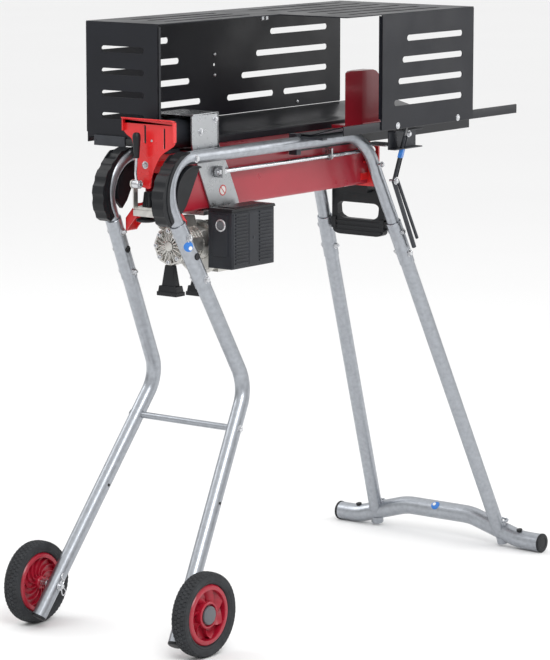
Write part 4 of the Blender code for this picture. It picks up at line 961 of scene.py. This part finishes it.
bolts.done("handle_bolts", ZINC, bevel=0.0003)

# Corner grips and gussets
bend = front_bend_centre()
for word, side in SIDES:
    y = side * bend.y
    inner_r = FRONT_BEND_R + UPPER_R + 0.001
    steps = 132
    outer = []
    for i in range(steps + 1):
        share = i / steps
        angle = 104 + 110 * share
        swell = math.sin(math.pi * min(1, 0.06 + 1.15 * share) / 2) ** 2
        depth = 0.003 + 0.024 * swell * (1 if share < 0.93 else 1 - 5.5 * (share - 0.93))
        if 0.2 < share < 0.94:
            beat = math.sin(math.pi * (share - 0.2) / 0.74 * 9)
            depth -= 0.0028 * max(0.0, beat) ** 0.6
        outer += arc(bend.x, bend.z, inner_r + depth, angle, angle, 1)[:1]
    grip = Form().plate("y", y, 0.034, outer + arc(bend.x, bend.z, inner_r, 214, 104, 40))
    edge_outline = arc(bend.x, bend.z, inner_r + 0.011, 122, 212, 36)
    edge_outline += arc(bend.x, bend.z, inner_r + 0.001, 212, 110, 36)
    for edge in (-1, 1):
        grip.plate("y", y + edge * 0.0172, 0.0026, edge_outline)
    grip.done(f"hand_grip_{word}", BLACK_PLASTIC, node=f"corner_grip_{word}", bevel=0.0016)
    gusset_r = FRONT_BEND_R - UPPER_R - 0.001
    outline = arc(bend.x, bend.z, gusset_r, 67, 197, 36)
    outline += [(bend.x - 0.042, bend.z - 0.042), (bend.x - 0.024, bend.z - 0.024)]
    gusset = Form().plate("y", y, 0.009, outline)
    gusset.plate(
        "y", y, 0.024,
        arc(bend.x, bend.z, gusset_r, 70, 195, 30) + arc(bend.x, bend.z, gusset_r - 0.004, 195, 70, 30),
    )
    gusset.done(f"bend_gusset_{word}", BLACK_PLASTIC, node=f"gusset_{word}", bevel=0.0012)


# ---------------------------------------------------------- cylinder and pusher

CYL_Z, CYL_R = 1.182, 0.037
barrel = Form().capped(
    (0.153, 0, CYL_Z),
    (1, 0, 0),
    [
        (0.032, 0.005), (0.032, 0.1535), (0.0345, 0.1535), (0.037, 0.1515), (0.037, 0.1385),
        (0.0358, 0.1365), (0.0358, 0.026), (0.037, 0.024), (0.037, 0.003), (0.0345, 0.0), (0.012, 0.0),
        (0.011, -0.002),
    ],
    64,
)
barrel.box((0.165, -0.02, BEAM_TOP + 0.0004), (0.213, 0.02, CYL_Z - CYL_R + 0.004))
barrel.done("cylinder_barrel", DARK_STEEL, node="hydraulic_cylinder", bevel=0.0004)


def repaint(look, *nodes):
    for node in nodes:
        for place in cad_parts[node].material_slots:
            place.material = look.material


repaint(STEEL, "cylinder_stage", "cylinder_inner_stage", "piston_rod", "driven_gear")
repaint(DARK_STEEL, "motor_rotor")

FACE_X, CHEEK_IN, CHEEK_OUT, HOOD_TOP = 0.317, 0.0512, 0.0555, 1.23
rear_x = FACE_X - 0.102
hood = Form()
hood.box((FACE_X - 0.005, -CHEEK_OUT, BEAM_TOP + 0.0012), (FACE_X, CHEEK_OUT, HOOD_TOP - 0.001))
hood.box((rear_x + 0.004, -CHEEK_OUT, HOOD_TOP - 0.004), (FACE_X - 0.001, CHEEK_OUT, HOOD_TOP))
cheek = rounded(
    [
        (rear_x, HOOD_TOP - 0.004), (rear_x, 1.155), (rear_x + 0.016, 1.122), (rear_x + 0.078, 0.988),
        (FACE_X + 0.078, 0.988), (FACE_X + 0.078, 1.01), (FACE_X + 0.032, 1.104), (FACE_X - 0.001, 1.155),
        (FACE_X - 0.001, HOOD_TOP - 0.001),
    ],
    [0.004, 0.02, 0.01, 0.008, 0.006, 0.012, 0.02, 0.01, 0.0],
)
for side in (-1, 1):
    hood.plate("y", side * (CHEEK_IN + CHEEK_OUT) / 2, CHEEK_OUT - CHEEK_IN, cheek)
hood.box((rear_x + 0.041, -CHEEK_OUT - 0.002, 0.9875), (FACE_X + 0.078, CHEEK_OUT + 0.004, 0.9985))
lug_x = 0.311
hood.box((lug_x - 0.005, -0.0755, 1.074), (lug_x + 0.005, -CHEEK_IN - 0.001, 1.102))
hood.done("pusher_carriage", GALVANISED_SHEET, "pusher", node="pusher", bevel=0.0011)
bolts = Form()
for x, z in ((0.249, 1.187), (0.304, 1.213)):
    bolts.bolt((x, -CHEEK_OUT + 0.0005, z), (0, -1, 0), 0.0062, 0.0045)
    bolts.bolt((x, CHEEK_OUT - 0.0005, z), (0, 1, 0), 0.0062, 0.0045)
bolts.done("carriage_bolts", ZINC, "pusher", bevel=0.0003)
sign = Form().turned(
    (0.332, -CHEEK_OUT - 0.0001, 1.041), (0, -1, 0),
    [(0.0105, 0), (0.013, 0), (0.013, 0.0004), (0.0105, 0.0004)], 40,
)
sign.plate(
    "y", -CHEEK_OUT - 0.0003, 0.0004, [(0.323, 1.049), (0.3245, 1.0505), (0.341, 1.033), (0.3395, 1.0315)]
)
sign.done("carriage_sign_ring", RED_LABEL, "pusher")
Form().capped((0.332, -CHEEK_OUT, 1.041), (0, -1, 0), [(0.0108, 0), (0.0108, 0.0002)], 40).done(
    "carriage_sign_disc", WHITE_LABEL, "pusher"
)

rod = Form().rod((lug_x - 0.018, ROD_Y, ROD_Z), (BEAM_REAR - 0.012, ROD_Y, ROD_Z), 0.0055, 28)
for x in (lug_x - 0.0135, lug_x + 0.0055):
    rod.rod((x, ROD_Y, ROD_Z), (x + 0.008, ROD_Y, ROD_Z), 0.01, 6)
rod.done("stroke_bar", STEEL, "pusher", node="stroke_rod", bevel=0.0005)

eye = Form().plate(
    "x", 0.745, 0.006,
    rounded(
        [(-0.0567, 1.078), (-0.0567, 1.1086), (-0.0775, 1.1086), (-0.0775, 1.082), (-0.0715, 1.078)], 0.002
    ),
    circle(ROD_Y, ROD_Z, 0.0061),
)
eye.done("rod_eye", GALVANISED_SHEET, node="rod_guide", bevel=0.0005)


# ------------------------------------------------------------- trays and guard

SHEET = 0.0025


def tray(word, side, start_x, end_x):
    outer_y = TRAY_Y if side > 0 else TRAY_Y - SHEET - 0.0004
    slope = 0.0255 / 0.1015
    rows = [
        (0.058, 1.1545), (0.11, 1.1545), (outer_y, 1.18), (outer_y, 1.156), (outer_y - SHEET, 1.156),
        (outer_y - SHEET, 1.18 - SHEET * (1 + slope)), (0.11, 1.152), (0.0605, 1.152), (0.0605, 1.109),
        (0.058, 1.109),
    ]
    sizes = [0.0035, 0.01, 0.003, 0.0008, 0.0008, 0.001, 0.01, 0.001, 0.0006, 0.0006]
    outline = rounded([(side * y, z) for y, z in rows], sizes, 3)
    piece = Form().plate("x", (start_x + end_x) / 2, end_x - start_x, outline)
    piece.done(f"tray_sheet_{word}", TRAY_SHEET, node=f"log_tray_{word}", bevel=0.0004)


tray("far", 1, 0.1505, 1.383)
tray("near", -1, 0.612, 1.383)

SLOT_WIDTH = 0.015
SLOT_Z = [GUARD_TOP - 0.064 - 0.0527 * i for i in range(4)]
UNDER_TOP = GUARD_TOP - SHEET - 0.0002
far_in = TRAY_Y - SHEET
end_panel = Form().plate(
    "x",
    GUARD_FRONT - SHEET / 2,
    SHEET,
    rounded(rectangle(-0.009, 1.1694, far_in, UNDER_TOP), [0.004, 0, 0, 0.002]),
    *[slot(0.034, 0.165, z, SLOT_WIDTH) for z in SLOT_Z],
)
end_panel.box(
    (GUARD_FRONT - SHEET, -0.009, 1.172), (GUARD_FRONT + 0.008, -0.009 + SHEET, UNDER_TOP - 0.004)
)
end_panel.done("end_sheet", BLACK_SHEET, node="guard_end_panel", bevel=0.0005)

left_ends, right_starts = (0.454, 0.496, 0.538, 0.581), (0.867, 0.808, 0.747, 0.688)
far_holes = [slot(0.2, x, z, SLOT_WIDTH) for x, z in zip(left_ends, SLOT_Z)]
far_holes += [slot(x, 1.113, z, SLOT_WIDTH) for x, z in zip(right_starts[:-1], SLOT_Z)]
far_holes += [slot(0.688, 0.881, SLOT_Z[-1], SLOT_WIDTH), slot(0.924, 1.113, SLOT_Z[-1], SLOT_WIDTH)]
far_holes.append(circle(0.636, 1.309, 0.004))
far_panel = Form().plate(
    "y", TRAY_Y - SHEET / 2, SHEET,
    rounded(rectangle(GUARD_FRONT - SHEET, 1.1804, GUARD_REAR, UNDER_TOP), [0.001, 0.004, 0.001, 0.001]),
    *far_holes,
)
far_panel.box((GUARD_FRONT, far_in - 0.01, UNDER_TOP - SHEET), (GUARD_REAR - 0.004, far_in, UNDER_TOP))
far_panel.done("far_sheet", BLACK_SHEET, node="guard_far_panel", bevel=0.0005)

near_holes = [slot(x, 1.122, z, SLOT_WIDTH) for x, z in zip((0.875, 0.856, 0.839, 0.821), SLOT_Z)]
near_panel = Form().plate(
    "y", -TRAY_Y + SHEET / 2, SHEET,
    rounded(rectangle(0.7675, 1.158, GUARD_REAR, UNDER_TOP), [0.005, 0.005, 0.001, 0.001]), *near_holes,
)
near_panel.box((0.7675, -TRAY_Y, 1.186), (0.7675 + SHEET, -TRAY_Y + 0.01, UNDER_TOP - 0.002))
near_panel.done("near_sheet", BLACK_SHEET, node="guard_near_panel", bevel=0.0005)

top_outline = rounded(
    [
        (GUARD_FRONT - SHEET, TRAY_Y), (GUARD_FRONT - SHEET, -0.009), (0.619, -0.009), (0.619, -TRAY_Y),
        (GUARD_REAR, -TRAY_Y), (GUARD_REAR, TRAY_Y),
    ],
    [0.001, 0.003, 0.002, 0.004, 0.002, 0.002],
)
top_holes = [slot(0.235, 0.56, y, SLOT_WIDTH) for y in (0.04, 0.092, 0.144)]
top_holes += [slot(0.705, 1.095, -0.155 + 0.062 * i, SLOT_WIDTH) for i in range(6)]
top_sheet = Form().plate("z", GUARD_TOP - SHEET / 2, SHEET, top_outline, *top_holes)
top_sheet.done("top_sheet", BLACK_SHEET, node="guard_top_plate", bevel=0.0005)

bolts = Form()
for x in (0.233, 0.408, 0.586, 0.711, 0.847, 0.985, 1.125):
    bolts.bolt((x, TRAY_Y - 0.01, GUARD_TOP - 0.0045), (0, 0, 1), 0.005, 0.0042, washer=False, dome=True)
for x, z in ((0.837, 1.165), (1.103, 1.165)):
    bolts.bolt((x, -TRAY_Y + 0.0005, z), (0, -1, 0), 0.0058, 0.0035, dome=True)
for x, z in ((0.636, 1.335), (0.636, 1.283), (0.982, 1.192)):
    bolts.bolt((x, far_in + 0.0003, z), (0, -1, 0), 0.0052, 0.0035, washer=False, dome=True)
for x in (0.566, 0.582):
    bolts.bolt((x, 0.004, GUARD_TOP - SHEET), (0, 0, -1), 0.005, 0.01, washer=False)
for z in (1.2, 1.405):
    bolts.bolt((0.15, 0.012, z), (1, 0, 0), 0.0048, 0.0038, washer=False)
bolts.done("guard_bolts", ZINC, bevel=0.0003)

# Brackets and the brace under the near tray, and one bracket at the guard's front
brackets = Form()
brackets.box((0.592, -0.0815, 1.104), (0.61, -0.0575, 1.156))
brackets.box((0.592, -0.16, 1.1445), (0.611, -0.07, 1.15))
brackets.box((0.881, -0.153, 1.097), (1.0, -0.15, 1.145))
for z in (1.097, 1.142):
    brackets.box((0.881, -0.174, z), (1.0, -0.15, z + 0.003))
brackets.box((0.1425, 0.09, 1.15), (0.1475, 0.185, 1.1745))
brackets.done("tray_brackets", DARK_STEEL, bevel=0.0006)
strips = Form()
strips.box((0.872, -0.15, 1.106), (0.94, -0.07, 1.109))
# A disc inside the stroke rod
strips.rod((0.84, ROD_Y, ROD_Z), (0.84, ROD_Y, 1.0885), 0.002, 8)
strips.box((0.8985, -0.087, 1.064), (0.9045, -0.08, 1.107))
strips.done("brace_strips", GALVANISED_SHEET, bevel=0.0004)

upper_top, pivot = Vector((0.925, -0.176, 1.148)), Vector((0.914, -0.146, 1.016))
brace_turn = Matrix.Translation(upper_top) @ turned_to(pivot - upper_top)
flat = Form()
length = (pivot - upper_top).length
flat.box((-0.01, -0.0022, -0.004), (0.01, 0.0022, length + 0.004))
flat.box((-0.01, -0.0065, 0.018), (-0.0075, 0.0022, length - 0.01))
flat.box((0.0075, -0.0065, 0.018), (0.01, 0.0022, length - 0.01))
flat.moved(brace_turn)
flat.done("brace_upper_bar", DARK_STEEL, node="tray_strut", bevel=0.0006)
lower_end = Vector((1.004, -0.148, 0.838))
lower = Form().rod(along(pivot, lower_end, 0.004), lower_end, 0.0058, 20)
lower.rod(
    along(pivot, lower_end, 0.002) + Vector((0.012, -0.002, 0.004)),
    lower_end + Vector((0.01, -0.002, 0.022)), 0.0042, 16,
)
lower.done("brace_lower_bar", DARK_STEEL, node="strut_arm", bevel=0.0006)
bolts = Form()
bolts.bolt(pivot - Vector((0, 0.0065, 0)), (0, -1, 0), 0.0065)
bolts.rod(pivot - Vector((0, 0.006, 0)), pivot + Vector((0, 0.012, 0)), 0.0038, 16)
bolts.bolt((0.901, -0.1175, 1.056), (0, -1, 0), 0.006)
bolts.rod((0.901, -0.118, 1.056), (0.901, -0.094, 1.056), 0.0036, 16)
bolts.bolt(upper_top + Vector((0.002, -0.006, -0.012)), (0, -1, 0), 0.006)
bolts.bolt((0.601, -0.0815, 1.131), (0, -1, 0), 0.0055)
bolts.done("brace_bolts", ZINC, bevel=0.0003)
band = Form().box((-0.0105, -0.0072, 0.05), (0.0105, 0.003, 0.074))
band.moved(brace_turn)
band.done("brace_label", BLUE_LABEL, bevel=0.0003)


# ------------------------------------------------------------------ power unit

MOTOR_Z, MOTOR_Y = 0.905, -0.012
PUMP_Z = MOTOR_Z + 0.013
PUMP_X = 0.176


def turn_about(y, z, radius, angle):
    return Vector((0, y + radius * math.cos(angle), z + radius * math.sin(angle)))


body = Form()


def lobed(angle, row, radius, height):
    """Swells a casting's edge round each of its eight bolts."""
    if radius > 0.04:
        radius += 0.0026 * (0.5 + 0.5 * math.cos(8 * angle)) - 0.0012
    return radius, height


body.capped(
    (PUMP_X + 0.0124, MOTOR_Y, PUMP_Z), (1, 0, 0),
    [
        (0.0455, 0), (0.046, 0.001), (0.046, 0.016), (0.042, 0.02), (0.041, 0.078), (0.045, 0.084),
        (0.045, 0.0966),
    ],
    96, lobed,
)
body.box((0.193, MOTOR_Y - 0.014, PUMP_Z + 0.038), (0.272, MOTOR_Y + 0.014, 0.986), taper=0.82)
body.box((0.206, MOTOR_Y - 0.05, PUMP_Z - 0.012), (0.25, MOTOR_Y - 0.03, PUMP_Z + 0.02))
for i in range(5):
    x = 0.213 + 0.011 * i
    body.turned(
        (x, MOTOR_Y, PUMP_Z), (1, 0, 0), [(0.04, 0), (0.0452, 0.0006), (0.0452, 0.003), (0.04, 0.0036)], 72
    )
body.done("pump_body", CAST, node="pump_housing", bevel=0.0012)

cover = Form()
cover.capped(
    (PUMP_X + 0.012, MOTOR_Y, PUMP_Z), (-1, 0, 0),
    [
        (0.046, 0), (0.046, 0.0045), (0.0445, 0.006), (0.0405, 0.006), (0.0395, 0.0008), (0.013, 0.0006),
        (0.0115, 0.009), (0.006, 0.0105),
    ],
    96, lobed,
)
for i in range(16):
    angle = 2 * math.pi * i / 16
    inner, outer = turn_about(MOTOR_Y, PUMP_Z, 0.012, angle), turn_about(MOTOR_Y, PUMP_Z, 0.04, angle)
    cover.rod(inner + Vector((PUMP_X + 0.0062, 0, 0)), outer + Vector((PUMP_X + 0.0068, 0, 0)), 0.0019, 10)
for i in range(8):
    middle = turn_about(MOTOR_Y, PUMP_Z, 0.0375, 2 * math.pi * i / 8)
    cover.rod(
        middle + Vector((PUMP_X + 0.011, 0, 0)), middle + Vector((PUMP_X + 0.0035, 0, 0)), 0.008, 24, 0.0072
    )
cover.done("pump_cover_cast", CAST, node="pump_cover", bevel=0.0008)
screws = Form()
for i in range(8):
    middle = turn_about(MOTOR_Y, PUMP_Z, 0.0375, 2 * math.pi * i / 8) + Vector((PUMP_X + 0.0038, 0, 0))
    screws.capped(
        middle, (-1, 0, 0),
        [(0.0052, 0), (0.0052, 0.004), (0.0046, 0.0046), (0.0026, 0.0046), (0.0026, 0.0018)], 24,
    )
for y, z in ((MOTOR_Y - 0.036, PUMP_Z - 0.004), (MOTOR_Y - 0.044, PUMP_Z + 0.022)):
    screws.capped((PUMP_X + 0.02, y, z), (-1, 0, 0), [(0.0105, 0), (0.0105, 0.0085), (0.0095, 0.0095)], 32)
screws.done("pump_screws", ZINC)

flange = Form().turned(
    (0.2856, MOTOR_Y, MOTOR_Z), (1, 0, 0),
    [
        (0.0125, 0), (0.062, 0), (0.0655, 0.003), (0.066, 0.005), (0.066, 0.0125), (0.065, 0.0138),
        (0.0125, 0.0138),
    ],
    96,
)
flange.done("mounting_flange", CAST, node="motor_flange", bevel=0.0005)

shell = Form().turned(
    (0.3, MOTOR_Y, MOTOR_Z),
    (1, 0, 0),
    [
        (0.0125, 0.19), (0.046, 0.19), (0.054, 0.187), (0.059, 0.18), (0.059, 0.158), (0.056, 0.156),
        (0.056, 0.012), (0.0615, 0.009), (0.062, 0.002), (0.061, 0), (0.0125, 0), (0.0125, 0.008),
        (0.052, 0.008), (0.052, 0.174), (0.0125, 0.174),
    ],
    96,
)
for i in range(36):
    angle = 2 * math.pi * i / 36
    turn = Matrix.Translation((0, MOTOR_Y, MOTOR_Z)) @ Matrix.Rotation(angle, 4, "X")
    fin = bmesh.ops.create_cube(shell.mesh, size=1)["verts"]
    for vert in fin:
        vert.co = turn @ Vector((0.385 + vert.co.x * 0.14, vert.co.y * 0.0022, 0.058 + vert.co.z * 0.007))
shell.box((0.33, MOTOR_Y - 0.03, MOTOR_Z - 0.0625), (0.445, MOTOR_Y + 0.03, MOTOR_Z - 0.048))
shell.done("motor_shell", CAST, node="motor_housing", slot="dark_steel", bevel=0.0005)

FEET = (("front", 0.187, 0.8, 0.034, PUMP_Z - 0.045), ("rear", 0.291, 0.787, 0.022, MOTOR_Z - 0.064))
for word, x, low, width, top in FEET:
    foot = Form()
    half = width / 2
    foot.box((x - half, MOTOR_Y - 0.03, low), (x + half, MOTOR_Y + 0.03, low + 0.01))
    foot.box(
        (x - half + 0.002, MOTOR_Y - 0.028, low + 0.009), (x + half - 0.002, MOTOR_Y + 0.028, low + 0.024),
        taper=0.9,
    )
    foot.box(
        (x - half * 0.62, MOTOR_Y - 0.02, low + 0.022), (x + half * 0.62, MOTOR_Y + 0.02, top), taper=0.62
    )
    foot.done(f"rubber_foot_{word}", BLACK_PLASTIC, node=f"pump_foot_{word}", bevel=0.0014)

# Switch box
LOW, HIGH = Vector((0.246, -0.15, 0.866)), Vector((0.41, -0.0785, 1.002))
case = Form().box(LOW, HIGH)
case.box((LOW.x - 0.0022, LOW.y + 0.012, LOW.z + 0.03), (LOW.x + 0.002, HIGH.y - 0.012, HIGH.z - 0.006))
face_y = LOW.y
for low_x, high_x in ((LOW.x + 0.012, LOW.x + 0.06), (HIGH.x - 0.06, HIGH.x - 0.012)):
    for i in range(15):
        z = LOW.z + 0.011 + 0.0083 * i
        case.box((low_x, face_y - 0.004, z), (high_x, face_y + 0.002, z + 0.004))
case.box((LOW.x + 0.064, face_y - 0.0026, LOW.z + 0.006), (HIGH.x - 0.064, face_y + 0.002, HIGH.z - 0.006))
case.box((LOW.x + 0.004, face_y - 0.0014, LOW.z + 0.003), (HIGH.x - 0.004, face_y + 0.002, HIGH.z - 0.003))
for i in range(8):
    x = HIGH.x - 0.002
    case.box(
        (x, LOW.y + 0.044, LOW.z + 0.014 + 0.014 * i),
        (x + 0.004, HIGH.y - 0.004, LOW.z + 0.021 + 0.014 * i),
    )
case.done("switch_case", BOX_PLASTIC, node="switch_box", bevel=0.0012)
lid = Form().box(
    (LOW.x - 0.003, LOW.y - 0.003, HIGH.z + 0.0003), (HIGH.x + 0.003, HIGH.y - 0.002, HIGH.z + 0.0075),
    taper=0.975,
)
lid.box((LOW.x + 0.02, LOW.y + 0.01, HIGH.z + 0.006), (HIGH.x - 0.02, HIGH.y - 0.012, HIGH.z + 0.0095))
lid.done("switch_lid", BLACK_PLASTIC, node="switch_box_lid", bevel=0.0014)
screws = Form().capped(
    (LOW.x + 0.082, face_y - 0.0026, 0.936), (0, -1, 0),
    [(0.0034, 0), (0.0034, 0.0008), (0.002, 0.0012), (0.0014, 0.0004)], 20,
)
for x in (LOW.x + 0.007, HIGH.x - 0.007):
    for z in (LOW.z + 0.006, HIGH.z - 0.006):
        screws.capped(
            (x, face_y - 0.0014, z), (0, -1, 0),
            [(0.0026, 0), (0.0024, 0.0008), (0.001, 0.0008), (0.001, 0.0002)], 16,
        )
screws.done("case_screws", DARK_STEEL)
button = Vector((LOW.x, (LOW.y + HIGH.y) / 2 - 0.004, HIGH.z - 0.032))
ring = Form().turned(
    button - Vector((0.0018, 0, 0)), (-1, 0, 0),
    [(0.0113, 0), (0.015, 0), (0.015, 0.0014), (0.014, 0.0022), (0.0113, 0.0022)], 40,
)
ring.done("button_ring", ZINC)
key = Form().turned(
    button + Vector((0.0045, 0, 0)), (-1, 0, 0),
    [(0, 0), (0.0105, 0), (0.0105, 0.0074), (0.0095, 0.0086), (0.005, 0.008), (0, 0.0076)], 40,
)
key.done("push_button", GREY_PLASTIC, "button", node="start_button")
inlet_z = (LOW.z + HIGH.z) / 2 - 0.01
inlet = Form().capped(
    (HIGH.x + 0.0004, LOW.y + 0.034, inlet_z), (1, 0, 0),
    [
        (0.0165, 0), (0.0165, 0.003), (0.0155, 0.0045), (0.0155, 0.018), (0.015, 0.0192), (0.013, 0.0192),
        (0.0125, 0.0182), (0.0125, 0.005),
    ],
    48,
)
for i in range(3):
    angle = 2 * math.pi * i / 3 + 0.5
    place = Vector(
        (HIGH.x + 0.005, LOW.y + 0.034 + 0.006 * math.cos(angle), inlet_z + 0.006 * math.sin(angle))
    )
    inlet.rod(place, place + Vector((0.01, 0, 0)), 0.0018, 12)
inlet.done("mains_inlet", BLACK_PLASTIC, node="power_inlet", bevel=0.0003)

# Oil pipes from the valve block to the pump
pipes = Form()
for start_y, end_y in ((-0.034, -0.03), (-0.014, 0.004)):
    route = rounded_path(
        [(0.14, start_y, 1.0), (0.142, start_y, 0.98), (0.168, end_y, 0.966), (0.205, end_y, 0.952)],
        (0.014, 0.012), 8,
    )
    pipes.sweep(route, 0.0052, 20)
    pipes.rod((0.14, start_y, 0.9975), (0.14, start_y, 0.989), 0.0088, 6)
pipes.done("oil_pipes", CAST, bevel=0.0004)


# -------------------------------------------------------------------- controls

VALVE_LOW, VALVE_HIGH = (0.088, -0.043, 0.998), (0.158, 0.0205, 1.02)
SPOOL_X, SPOOL_Y = 0.122, 0.008
PIVOT = Vector((0.078, 0.0, 1.075))

block = Form().box(VALVE_LOW, (VALVE_HIGH[0], VALVE_HIGH[1], 1.013))
block.box((0.091, -0.04, 1.012), (0.155, 0.0175, VALVE_HIGH[2]))
block.box((PIVOT.x, 0.0096, 1.016), (PIVOT.x + 0.016, 0.0126, PIVOT.z))
block.turned(
    (PIVOT.x, 0.0096, PIVOT.z), (0, 1, 0), [(0.0046, 0), (0.011, 0), (0.011, 0.003), (0.0046, 0.003)], 32
)
for x, y in ((0.096, -0.036), (0.149, -0.036)):
    block.rod((x, y, 1.018), (x, y, 1.0225), 0.0042, 6)
block.done("valve_body", CAST, node="valve_block", bevel=0.001)

spool = Form().rod((SPOOL_X, SPOOL_Y, 0.988), (SPOOL_X, SPOOL_Y, 1.032), 0.006, 28)
spool.capped(
    (SPOOL_X, SPOOL_Y, 0.982), (0, 0, 1),
    [(0.012, 0.013), (0.016, 0.009), (0.023, 0.007), (0.0245, 0.004), (0.0235, 0.001), (0.018, -0.001)], 48,
)
spool.done("spool_knob", BLACK_PLASTIC, "spool", node="valve_spool")

filler = Form()


def ribbed(angle, row, radius, height):
    if 0.002 < height < 0.04 and radius > 0.01:
        radius += 0.0009 * (1 if math.cos(20 * angle) > 0 else -1)
    return radius, height


filler.turned(
    (SPOOL_X - 0.014, SPOOL_Y - 0.02, VALVE_HIGH[2] + 0.0004), (0, 0, 1),
    [
        (0, 0), (0.0152, 0), (0.0152, 0.003), (0.0145, 0.004), (0.0112, 0.031), (0.0106, 0.034),
        (0.009, 0.0354), (0, 0.0354),
    ],
    160, ribbed,
)
filler.done("ribbed_filler_cap", BLACK_PLASTIC, node="oil_filler_cap")

lever = Form().capped(
    PIVOT - Vector((0, 0.009, 0)), (0, 1, 0),
    [(0.0092, 0), (0.01, 0.0008), (0.01, 0.0172), (0.0092, 0.018)], 40,
)
lever.rod(PIVOT - Vector((0, 0.013, 0)), PIVOT + Vector((0, 0.0146, 0)), 0.004, 24)
lever.bolt(PIVOT - Vector((0, 0.009, 0)), (0, -1, 0), 0.0068, 0.005)
bent = rounded_path(
    [
        PIVOT, PIVOT + Vector((-0.004, 0, 0.026)), PIVOT + Vector((0, 0, 0.064)),
        PIVOT + Vector((0, 0, 0.106)),
    ],
    (0.02, 0.03), 8,
)
lever.sweep(bent, 0.0035, 24)
lever.done("lever_rod", STEEL, "lever", node="control_lever", bevel=0.0003)
grip = Form().capped(
    (PIVOT.x, PIVOT.y, 1.136), (0, 0, 1),
    [
        (0.0058, 0), (0.0066, 0.003), (0.0084, 0.028), (0.0098, 0.047), (0.0094, 0.054), (0.0072, 0.0585),
        (0.0036, 0.06),
    ],
    40,
)
grip.done("lever_handle", BLACK_PLASTIC, "lever", node="lever_grip")

x = 0.104
outline = rounded(
    [
        (0.056, 1.222), (0.062, 1.198), (0.05, 1.186), (0.034, 1.178), (0.028, 1.14), (0.022, 1.092),
        (0.011, 1.066), (-0.02, 1.062), (-0.024, 1.09), (-0.034, 1.112), (-0.052, 1.144), (-0.094, 1.168),
        (-0.096, 1.216),
    ],
    [0.003, 0.008, 0.006, 0.012, 0.02, 0.01, 0.005, 0.005, 0.02, 0.02, 0.02, 0.008, 0.004],
)


def upright(u, low, high, width):
    return [(u + b, a) for a, b in slot(low, high, 0, width)]


plate = Form().plate(
    "x", x, 0.003, outline, upright(-0.005, 1.168, 1.212, 0.0075), upright(-0.063, 1.158, 1.207, 0.0065),
    circle(-0.026, 1.176, 0.003),
)
lip_outline = rounded(
    [(x - 0.015, 1.2285), (x + 0.0015, 1.2245), (x + 0.0015, 1.2215), (x - 0.0155, 1.2255)], 0.001
)
plate.plate(AXIS_TURNS["y"], 0.0195, 0.151, lip_outline)
plate.box((x - 0.0015, -0.095, 1.214), (x + 0.0015, 0.055, 1.2235))
plate.box((x - 0.01, 0.055, 1.196), (x + 0.0015, 0.058, 1.224))
plate.box((x - 0.01, -0.0975, 1.176), (x + 0.0015, -0.0945, 1.222))
plate.box((x, -0.016, 1.112), (0.169, 0.004, 1.124))
plate.box((0.1656, -0.049, 1.092), (0.1696, 0.049, 1.138))
plate.done("lever_shield", BRIGHT_RED, node="lever_guard", bevel=0.0008)
bolts = Form().bolt((x - 0.0015, -0.006, 1.118), (-1, 0, 0), 0.0062, 0.005)
bolts.bolt((x - 0.0015, -0.026, 1.176), (-1, 0, 0), 0.0032, 0.002, washer=False, dome=True)
bolts.done("shield_bolts", ZINC, bevel=0.0003)


# -------------------------------------------------------------- floor and light

floor_look = Look("studio_floor", None, (0.86, 0.86, 0.86), 0.85).mottle(0.6, 0.006)
floor_mesh = bpy.data.meshes.new("floor")
FLOOR = 160
floor_mesh.from_pydata(
    [(-FLOOR, -FLOOR, 0), (FLOOR, -FLOOR, 0), (FLOOR, FLOOR, 0), (-FLOOR, FLOOR, 0)], [], [(0, 1, 2, 3)]
)
floor_mesh.materials.append(floor_look.material)
floor = in_scene("floor", floor_mesh)

world = bpy.data.worlds.new("studio")
bpy.context.scene.world = world
world.use_nodes = True
tree = world.node_tree
direction = tree.nodes.new("ShaderNodeTexCoord").outputs["Generated"]
facing = tree.nodes.new("ShaderNodeVectorMath")
facing.operation = "DOT_PRODUCT"
facing.inputs[1].default_value = (-0.79, -0.61, 0.0)
tree.links.new(direction, facing.inputs[0])
levels = ((0.0, 0.85), (0.3, 0.45), (0.5, 0.3), (0.66, 0.75), (0.8, 1.15), (0.9, 0.9))
stops = [(place, (level,) * 3) for place, level in levels] + [(1.0, (0.55, 0.55, 0.56))]
bands = ramp(tree, ranged(tree, facing.outputs["Value"], -1, 1), stops)
height = tree.nodes.new("ShaderNodeSeparateXYZ")
tree.links.new(direction, height.inputs[0])
sky = tree.nodes.new("ShaderNodeMixRGB")
sky.inputs["Color2"].default_value = (1.25, 1.25, 1.25, 1)
tree.links.new(ranged(tree, height.outputs["Z"], 0.15, 0.75), sky.inputs["Fac"])
tree.links.new(bands, sky.inputs["Color1"])
tree.links.new(sky.outputs["Color"], tree.nodes["Background"].inputs["Color"])
tree.nodes["Background"].inputs["Strength"].default_value = 0.92
bpy.context.scene.view_settings.view_transform = "Standard"


def softbox(name, place, aim, size, power):
    data = bpy.data.lights.new(name, "AREA")
    data.shape = "RECTANGLE"
    data.size, data.size_y = size
    data.energy = power
    lamp = in_scene(name, data)
    lamp.location = place
    lamp.rotation_euler = (Vector(aim) - Vector(place)).to_track_quat("-Z", "Y").to_euler()


softbox("key", (-3.2, -3.6, 4.2), (0, 0, 0.8), (2.4, 2.4), 130)
softbox("fill", (3.5, -3.0, 2.4), (0, 0, 0.8), (2.0, 3.0), 40)
softbox("back", (-1.0, 4.0, 3.4), (0, 0, 0.9), (3.0, 2.0), 60)
